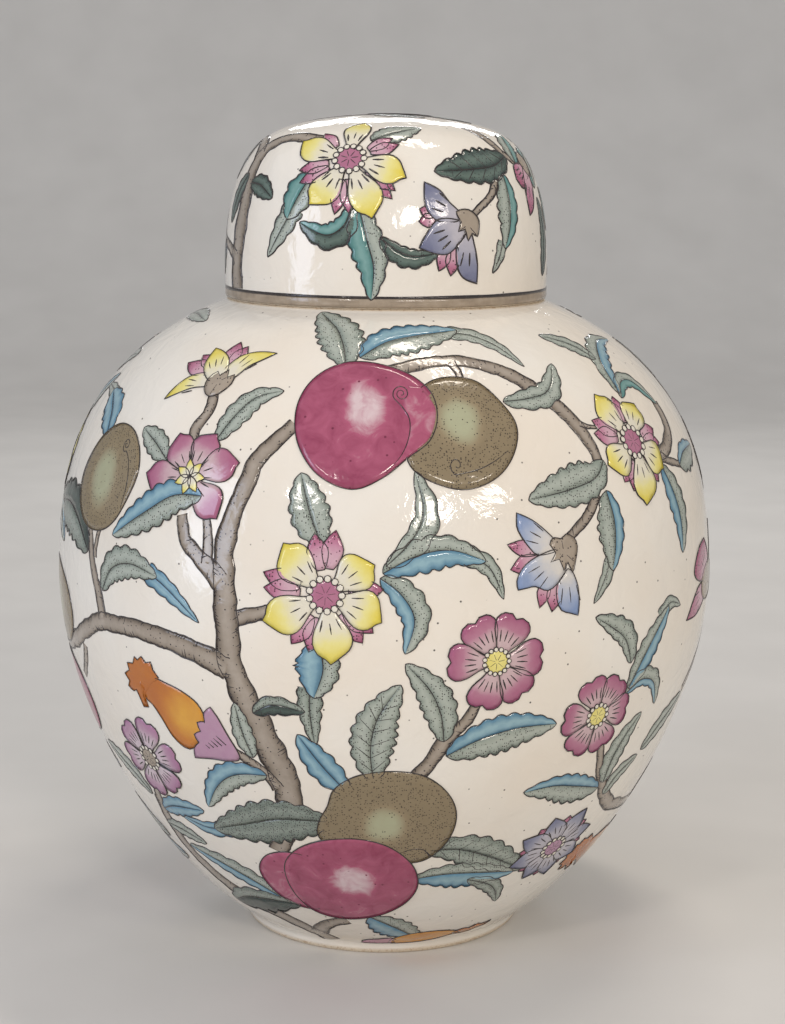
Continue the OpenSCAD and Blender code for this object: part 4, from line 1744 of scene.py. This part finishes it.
class LidPainting:
    """The branch and blossom round the side of the lid, and the spray on its crown."""

    def __init__(self, painter: Painter, crown: Painter) -> None:
        """Takes the painters whose charts are the lid's side and its crown."""
        self.art = painter
        self.crown = crown

    def paint(self) -> None:
        """Paints the front, the far side in other colours, and the crown."""
        self.rim_line()
        for far in (False, True):
            self.art.far = far
            self.art.swaps = LID_SWAPS if far else {}
            self.leaves()
            self.blossoms()
        self.spray()

    def rim_line(self) -> None:
        """The black line and the brown band under it, all the way round the rim."""
        art = self.art
        art.stroke([(-180 + 3 * k, 3.5) for k in range(120)] + [(-180, 3.5)], 0.12, 0.9)

        def band(u: float, v: float) -> tuple[Point, float, float]:
            """One vertex of the band."""
            turn = math.tau * u
            streak = 0.3 * noise.noise(Vector((6 * math.cos(turn), 6 * math.sin(turn), 3 * v)))
            return (360 * u - 180, 0.35 + 3.1 * v), 0.06, 0.45 + streak

        art.lay(Paint.RIM, 240, 3, band)

    def leaves(self) -> None:
        """Branches and leaves of the side."""
        art = self.art
        art.branch(
            [
                (-64.5, 4), (-64.5, 12), (-63, 21), (-62.5, 31), (-64, 39), (-62.5, 46), (-55, 50.5),
                (-45, 52), (-30, 51),
            ],
            [8, 7.4, 8, 7, 6, 5.6, 4.8, 4, 3],
        )
        art.branch([(-65, 44), (-70, 48), (-79, 50.5), (-90, 50), (-97, 46)], [5, 4.4, 3.6, 3, 2.4])
        art.branch([(-65.5, 13), (-73, 16), (-83, 18), (-90, 22)], [4, 3, 2.6, 2.4])
        art.leaf([(-97, 46.5), (-103, 43), (-107, 34)], 3.2, 3.8, (G, T), lobes=6)
        art.leaf([(-86, 50.5), (-84, 43), (-88, 36)], 3, 3.2, (D, D), lobes=5)
        art.leaf([(-90, 21.5), (-95.5, 26), (-99, 34)], 3.2, 3.2, (T, G), lobes=5)
        art.leaf([(-80, 17.6), (-84, 11), (-91, 7.5)], 2.8, 3.2, (D, D), lobes=5)
        art.branch([(31, 26.5), (36, 29.6), (41, 32.6), (43.8, 36.6)], [1.8, 2, 2.2, 2.8])
        art.branch([(49, 59), (52, 52), (55.5, 46), (62, 42)], [4, 3.4, 2.6, 2.4])
        art.leaf([(-60.5, 35.3), (-53.5, 34.6), (-45, 31)], 3.2, 3.2, (D, D), lobes=5)
        art.leaf([(-65.5, 38), (-70, 32), (-73, 23)], 3.2, 3.4, (D, D), lobes=5)
        art.leaf([(-34, 28.5), (-38.5, 22.3), (-44.5, 14)], 3.6, 3.6, form=TAIL, lobes=4)
        art.leaf([(-28.5, 38.5), (-33, 31.5), (-36.5, 25)], 4.6, 5, (G, T), lobes=4)
        art.leaf([(-12, 29.5), (-14.7, 23.6), (-21, 20.9), (-31, 24.3)], 4.2, 3.2, (D, T), lobes=6)
        art.leaf([(-2, 20.5), (4, 16.6), (10, 15.2), (18.5, 16.3)], 2, 3.6, (D, D), lobes=6)
        art.leaf([(-9.8, 30), (-6.6, 20), (-4.2, 12), (-4.9, 2.8)], 4.4, 5.2, (G, T), lobes=7)
        art.leaf([(-7, 50.5), (2, 54), (9, 56), (18, 58)], 4.2, 4.4, lobes=7)
        art.leaf([(56, 44.4), (46, 41.4), (33, 40.2), (18, 39.6)], 4.6, 6.6, (D, D), lobes=8, veins=5)
        art.leaf([(43.8, 19), (42, 14.6), (38.8, 10)], 1.9, 1.9, form=TAIL, lobes=3)
        art.leaf([(49.3, 38.5), (49.5, 30), (48, 23), (44.8, 16.8)], 3.2, 5.2, (T, G), lobes=6)
        art.leaf([(62, 42), (66, 49), (74, 54)], 3.6, 3.4, (G, T), lobes=5)
        art.leaf([(72, 8), (75, 20), (73, 31)], 3.4, 3.4, (D, D), lobes=6)

    def blossoms(self) -> None:
        """The yellow blossom and the two seen from the side."""
        art = self.art
        art.blossom(
            (-14.7, 43.6),
            [(-119, 17), (-66, 19), (165, 19.5), (-17, 16.5), (90, 18.6)],
            4.5, Paint.YELLOW, PetalForm.TULIP, 4.2, Paint.PINK,
            [
                (140, 15.5), (32, 15), (196, 15), (211, 15.5), (-98, 17), (-86, 16.5), (-38, 16), (-46, 17),
                (20, 15.5),
            ],
            2.2,
        )
        high = [
            (13.6, 36.4), (13.6, 36.4), (19, 34), (22.4, 30.4), (26, 27.4), (25, 25), (18, 25),
            (14.4, 27.6), (13.2, 31),
        ]
        near = [
            (11, 17.6), (11, 17.6), (16, 16), (21, 15.8), (25, 18.6), (27.6, 21.5), (26, 25), (18, 25.6),
            (13.4, 21.4),
        ]
        low = [(24.6, 19), (24.2, 13), (26.6, 9), (32, 7.2), (32, 7.2), (32.2, 13), (31, 18.4), (29.5, 21.6)]
        calyx = [
            (24.6, 27.6), (26, 24.6), (25, 22), (27.6, 22.6), (28.6, 19.4), (30.4, 21.6), (32.4, 20.6),
            (33.4, 25),
            (31, 27.6), (28, 28.4),
        ]
        art.side_blossom(
            (29.6, 25), [low, high, near], Paint.VIOLET,
            [
                ((21, 18), (17.8, 11), 2), ((23.5, 18), (22, 9.6), 2.2), ((17, 27), (11.4, 28.6), 2),
                ((17, 25.6), (11, 25), 2),
            ],
            calyx,
        )
        high = [(57.5, 37), (57.5, 37), (61, 34), (66, 37), (68, 41), (63, 42), (59, 41)]
        near = [(62, 26), (62, 26), (66, 28), (70, 34), (70, 40), (66, 40), (62, 33)]
        calyx = [(66, 43), (69, 38), (73, 38), (75, 43), (71, 46)]
        art.side_blossom((70, 41.5), [high, near], Paint.SEPAL, [], calyx)

    def spray(self) -> None:
        """A twig with blossom and leaves over the crown, in the flat chart of its top."""
        art = self.crown
        art.branch(
            [(-31, 8), (-22, 3), (-12, -2), (-2, -3), (10, 2), (22, 12), (30, 14)],
            [4, 4, 3.6, 3.4, 3.2, 2.6, 2],
        )
        art.branch([(-14, -1), (-9, 7), (-7, 15), (-8, 22)], [3, 2.6, 2.2, 2])
        art.leaf([(-20, 3), (-21, 11), (-17, 19)], 4, 4, lobes=6)
        art.leaf([(-8, 21), (-1, 25), (8, 25)], 3.8, 4, (G, T), lobes=6)
        art.leaf([(10, 2), (16, -3), (25, -5)], 4, 4, (G, T), lobes=6)
        art.leaf([(22, 12), (23, 20), (18, 27)], 3.6, 3.6, lobes=6)
        art.leaf([(-4, -3.5), (2, -10), (11, -13)], 3.6, 3.8, (D, D), lobes=6)
        art.blossom(
            (4, 9), ring(6, 10.5, 15), 5, Paint.PINK, PetalForm.HEART, 3.4, Paint.YELLOW, veins=3, beads=12,
        )


class Porcelain:
    """One porcelain shell, turned from the section of its wall."""

    def __init__(
        self, name: str, node: str, body: str, section: list[Point], bare: Callable[[float, float], float]
    ) -> None:
        """Takes what the shell is made from.

        Args:
            name: Name of the piece.
            node: The CAD node that it stands for.
            body: The CAD body that it rides on.
            section: (radius, height) points in millimetres, from the axis below to the axis above.
            bare: Gives how bare of glaze the clay is at a radius and height, from 0 to 1.
        """
        self.name = name
        self.node = node
        self.body = body
        self.section = section
        self.bare = bare

    def build(self, material: bpy.types.Material, steps: int = 256) -> None:
        """Spins the section round the axis and dresses it.

        Args:
            material: The porcelain's material.
            steps: How many steps the turn takes.
        """
        shell = bmesh.new()
        layer = shell.verts.layers.float.new("bare")
        verts, edges = chain(shell, [(r * MM, 0, z * MM) for r, z in self.section])
        spin = {"cent": (0, 0, 0), "axis": (0, 0, 1), "angle": math.tau, "steps": steps, "use_merge": True}
        bmesh.ops.spin(shell, geom=verts + edges, **spin)
        bmesh.ops.remove_doubles(shell, verts=shell.verts, dist=0.001 * MM)
        bmesh.ops.recalc_face_normals(shell, faces=shell.faces)
        shell.normal_update()
        for v in shell.verts:
            v[layer] = self.bare(math.hypot(v.co.x, v.co.y) / MM, v.co.z / MM)
        places = [v.co + v.normal * (lumps(v.co) * MM) * (1 - v[layer]) for v in shell.verts]
        for v, place in zip(shell.verts, places):
            v.co = place
        piece = new_piece(self.name, shell, material)
        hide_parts(self.node)
        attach(piece, self.body)
        log.info("%s: %d faces on %s", self.name, len(piece.data.polygons), self.body)


class GingerJar:
    """The whole jar: two porcelain shells and the painting on them."""

    def __init__(self) -> None:
        """Takes the sizes and lays out the two painted surfaces."""
        self.jar = JarSizes()
        self.lid = LidSizes()
        self.jar_side = TurnedSurface(self.jar.outer(), core=100.0, cell=1.5)
        self.lid_side = TurnedSurface(self.lid.outer(), core=205.0, cell=1.1)
        self.lid_crown = CrownSurface(self.lid.outer(), core=205.0, cell=1.1)

    def check(self) -> None:
        """Stops if the sizes here no longer match the CAD's."""
        low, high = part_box("jar_body")
        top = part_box("lid")[1]
        if abs((high.x - low.x) / 2 / MM - self.jar.belly_r) > SIZE_SLACK:
            raise ValueError("the belly's radius has changed in the CAD")
        if abs(top.z / MM - self.lid.lid_z - self.lid.lid_h) > SIZE_SLACK:
            raise ValueError("the lid's height has changed in the CAD")

    def glaze_line(self, surface: TurnedSurface) -> list[Point]:
        """The outline sunk to the glaze, as the enamels are laid on it."""
        count = round(surface.length / 1.6)
        return [surface.spot(surface.length * k / count)[:2] for k in range(count + 1)]

    def inner_line(self, outline: list[Point], wall: float) -> list[Point]:
        """The inside of a wall.

        Args:
            outline: The outside, from the bottom up.
            wall: Its thickness.

        Returns:
            Points of the inside, from the bottom up.
        """
        plain = TurnedSurface(outline, 0.0, 1.0)
        return [(r - nr * wall, z - nz * wall) for r, z, nr, nz in plain.rows[::2]]

    def jar_section(self) -> list[Point]:
        """Section of the jar's wall, from the middle of the recess under it to the middle of its floor."""
        s = self.jar
        foot_in = s.foot_r - s.foot_land - 1
        foot = [
            (0.0, s.recess_h), (foot_in - 6, s.recess_h), (foot_in - 2, s.recess_h - 0.3),
            (foot_in - 0.6, s.recess_h - 1.4),
            (foot_in, 0.8), (foot_in + 0.8, 0.0), (s.foot_r - 1.6, 0.0), (s.foot_r - 0.8, 0.6),
            (s.foot_r - 0.4, 2.0),
        ]
        outside = self.glaze_line(self.jar_side)
        lip = (s.neck_r - s.mouth_r) / 2
        lip_z = s.ledge_z + s.neck_h - lip
        ledge = [(s.ledge_r - 0.8, s.ledge_z), (s.neck_r + 1.2, s.ledge_z), (s.neck_r + 0.3, s.ledge_z + 0.3)]
        neck = [(s.neck_r, s.ledge_z + rise) for rise in (1.2, 8, 15)]
        turns = [math.pi * k / 12 for k in range(13)]
        neck += [(s.mouth_r + lip + lip * math.cos(t), lip_z + lip * math.sin(t)) for t in turns]
        hollow = (s.floor_z + 3, s.ledge_z - 5.6)
        inside = [p for p in reversed(self.inner_line(s.outer(), s.wall)) if hollow[0] < p[1] < hollow[1]]
        under = [(s.mouth_r, s.ledge_z + 2), (s.mouth_r, s.ledge_z - 3), (s.mouth_r + 0.8, s.ledge_z - 5)]
        low = inside[-1][0]
        floor = [(low - 4, s.floor_z + 0.8), (low - 10, s.floor_z), (15.0, s.floor_z), (0.0, s.floor_z)]
        return foot + outside + ledge + neck + under + inside + floor

    def lid_section(self) -> list[Point]:
        """Section of the lid's wall, from the middle of its hollow down to its rim and up over its top."""
        s = self.lid
        inside = [p for p in self.inner_line(s.outer(), s.wall) if p[1] > s.lid_z + 4]
        inside[-1] = (0.0, inside[-1][1])
        rim_in = inside[0][0]
        rim = [
            (rim_in, s.lid_z + 2), (rim_in + 0.1, s.lid_z + 0.6), (rim_in + 0.6, s.lid_z),
            (s.lid_r - 1.4, s.lid_z),
        ]
        return list(reversed(inside)) + rim + self.glaze_line(self.lid_side)

    def bare_jar(self, radius: float, height: float) -> float:
        """Bare clay on the foot ring's land, on the ledge and on the neck's lip."""
        s = self.jar
        if height < 3:
            return 1 - smooth_step(0.4, 1.6, height)
        if s.neck_r - 0.1 < radius < s.ledge_r - 0.3 and abs(height - s.ledge_z) < 1.5:
            return 1.0
        if height > s.ledge_z + 18:
            return smooth_step(2.2, 1.2, abs(height - s.ledge_z - s.neck_h + 1))
        return 0.0

    def bare_lid(self, radius: float, height: float) -> float:
        """Bare clay on the rim."""
        return 1 - smooth_step(0.1, 0.5, height - self.lid.lid_z)

    def build(self) -> None:
        """Builds the shells, then paints them."""
        clay = GlazedPorcelain().material()
        Porcelain("jar_porcelain", "jar_body", "jar", self.jar_section(), self.bare_jar).build(clay)
        Porcelain("lid_porcelain", "lid", "lid", self.lid_section(), self.bare_lid).build(clay)
        finishes = Palette().finishes()
        materials = {paint: finish.material() for paint, finish in finishes.items()}
        for pot in ("jar", "lid"):
            coats = {paint: Coat(f"{pot}_{paint.value}", finish, pot) for paint, finish in finishes.items()}
            if pot == "jar":
                JarPainting(Painter(self.jar_side, coats, line=0.28)).paint()
            else:
                side = Painter(self.lid_side, coats, line=0.4)
                LidPainting(side, Painter(self.lid_crown, coats, line=0.38)).paint()
            for paint, coat in coats.items():
                coat.finish_piece(materials[paint])


@dataclass(frozen=True)
class Lamp:
    """A soft light: metres to the right, back and up, its width and height, watts and colour."""

    name: str
    place: tuple[float, float, float]
    size: Point
    power: float
    colour: str


@dataclass(frozen=True)
class Camera:
    """Where the camera stands in metres, its turns in degrees, and its lens and film in millimetres."""

    place: tuple[float, float, float] = (0.0, -0.670, 0.244)
    down: float = 9.92
    right: float = 0.208
    roll: float = 0.4
    lens: float = 77.56
    film: float = 36.0


class Studio:
    """A pale floor, soft lights and the camera."""

    # A cool window on the left, a warm lamp above, and small lamps for the glints on the glaze.
    LAMPS = (
        Lamp("left_window", (-1.15, -0.65, 0.38), (0.4, 0.8), 4.4, "#D8E5FF"),
        Lamp("top_lamp", (0.2, 0.22, 1.3), (0.5, 0.12), 3.6, "#FFF3E4"),
        Lamp("front_lamp", (0.35, -1.18, 0.6), (0.26, 0.16), 4.0, "#FFF3E6"),
        Lamp("right_lamp", (0.75, -0.98, 0.64), (0.24, 0.12), 1.7, "#FFF3E6"),
        Lamp("left_lamp", (-0.56, -1.04, 0.72), (0.16, 0.12), 2.2, "#FFF8F0"),
        Lamp("back_strip", (0.05, 1.05, 0.62), (0.5, 0.1), 1.6, "#FFFFFF"),
    )
    SKY = "#EDEEF2"
    SKY_STRENGTH = 0.575
    # The floor in metres: half its width, its front, where it starts to bend up, that bend and its top.
    FLOOR_HALF = 4.0
    FLOOR_FRONT = -2.5
    FLOOR_BACK = 1.2
    BEND = 0.6
    FLOOR_TOP = 3.0

    def floor(self) -> None:
        """A pale floor that curves up into a backdrop."""
        sweep = bmesh.new()
        wall = self.FLOOR_BACK + self.BEND
        turns = [math.pi / 2 * k / 16 for k in range(17)]
        bend = [(self.FLOOR_BACK + self.BEND * math.sin(t), self.BEND * (1 - math.cos(t))) for t in turns]
        line = [(self.FLOOR_FRONT, 0.0), *bend, (wall, self.FLOOR_TOP)]
        edges = chain(sweep, [(-self.FLOOR_HALF, y, z) for y, z in line])[1]
        made = bmesh.ops.extrude_edge_only(sweep, edges=edges)["geom"]
        far_side = [part for part in made if isinstance(part, bmesh.types.BMVert)]
        bmesh.ops.translate(sweep, verts=far_side, vec=(2 * self.FLOOR_HALF, 0, 0))
        bmesh.ops.recalc_face_normals(sweep, faces=sweep.faces)
        paper = Finish("pale_paper")
        tint = paper.ramp(paper.clouds(60.0, 2.0), {0.3: "#D0CECA", 0.7: "#D6D4D0"})
        paper.connect(paper.tree.nodes["Principled BSDF"], {"Base Color": tint, "Roughness": 0.85})
        new_piece("floor", sweep, paper.made)

    def lights(self) -> None:
        """The sky and the lamps, which all face the middle of the jar."""
        world = bpy.data.worlds.new("studio")
        world.use_nodes = True
        sky = world.node_tree.nodes["Background"]
        sky.inputs["Color"].default_value = linear(self.SKY)
        sky.inputs["Strength"].default_value = self.SKY_STRENGTH
        bpy.context.scene.world = world
        bpy.context.scene.view_settings.view_transform = "Standard"
        middle = Vector((0, 0, cad_box[1].z / 2))
        for lamp in self.LAMPS:
            data = bpy.data.lights.new(lamp.name, "AREA")
            data.shape = "RECTANGLE"
            data.size, data.size_y = lamp.size
            data.energy = lamp.power
            data.color = linear(lamp.colour)[:3]
            light = in_scene(lamp.name, data)
            light.location = lamp.place
            light.rotation_euler = (middle - light.location).to_track_quat("-Z", "Y").to_euler()

    def camera(self) -> None:
        """A short telephoto lens a little above the shoulder, looking down at the jar."""
        view = Camera()
        data = bpy.data.cameras.new("camera")
        data.sensor_width = view.film
        data.lens = view.lens
        turns = ((-view.right, "Z"), (90 - view.down, "X"), (view.roll, "Z"))
        stand = Matrix.Translation(view.place)
        for angle, axis in turns:
            stand = stand @ Matrix.Rotation(math.radians(angle), 4, axis)
        camera = in_scene("camera", data)
        camera.matrix_world = stand
        bpy.context.scene.camera = camera

    def build(self) -> None:
        """Sets up the studio."""
        self.camera()
        self.floor()
        self.lights()


def main() -> None:
    """Builds the studio and the jar."""
    logging.basicConfig(level=logging.INFO, format="%(name)s: %(message)s")
    Studio().build()
    jar = GingerJar()
    jar.check()
    jar.build()


if __name__ == "__main__":
    main()
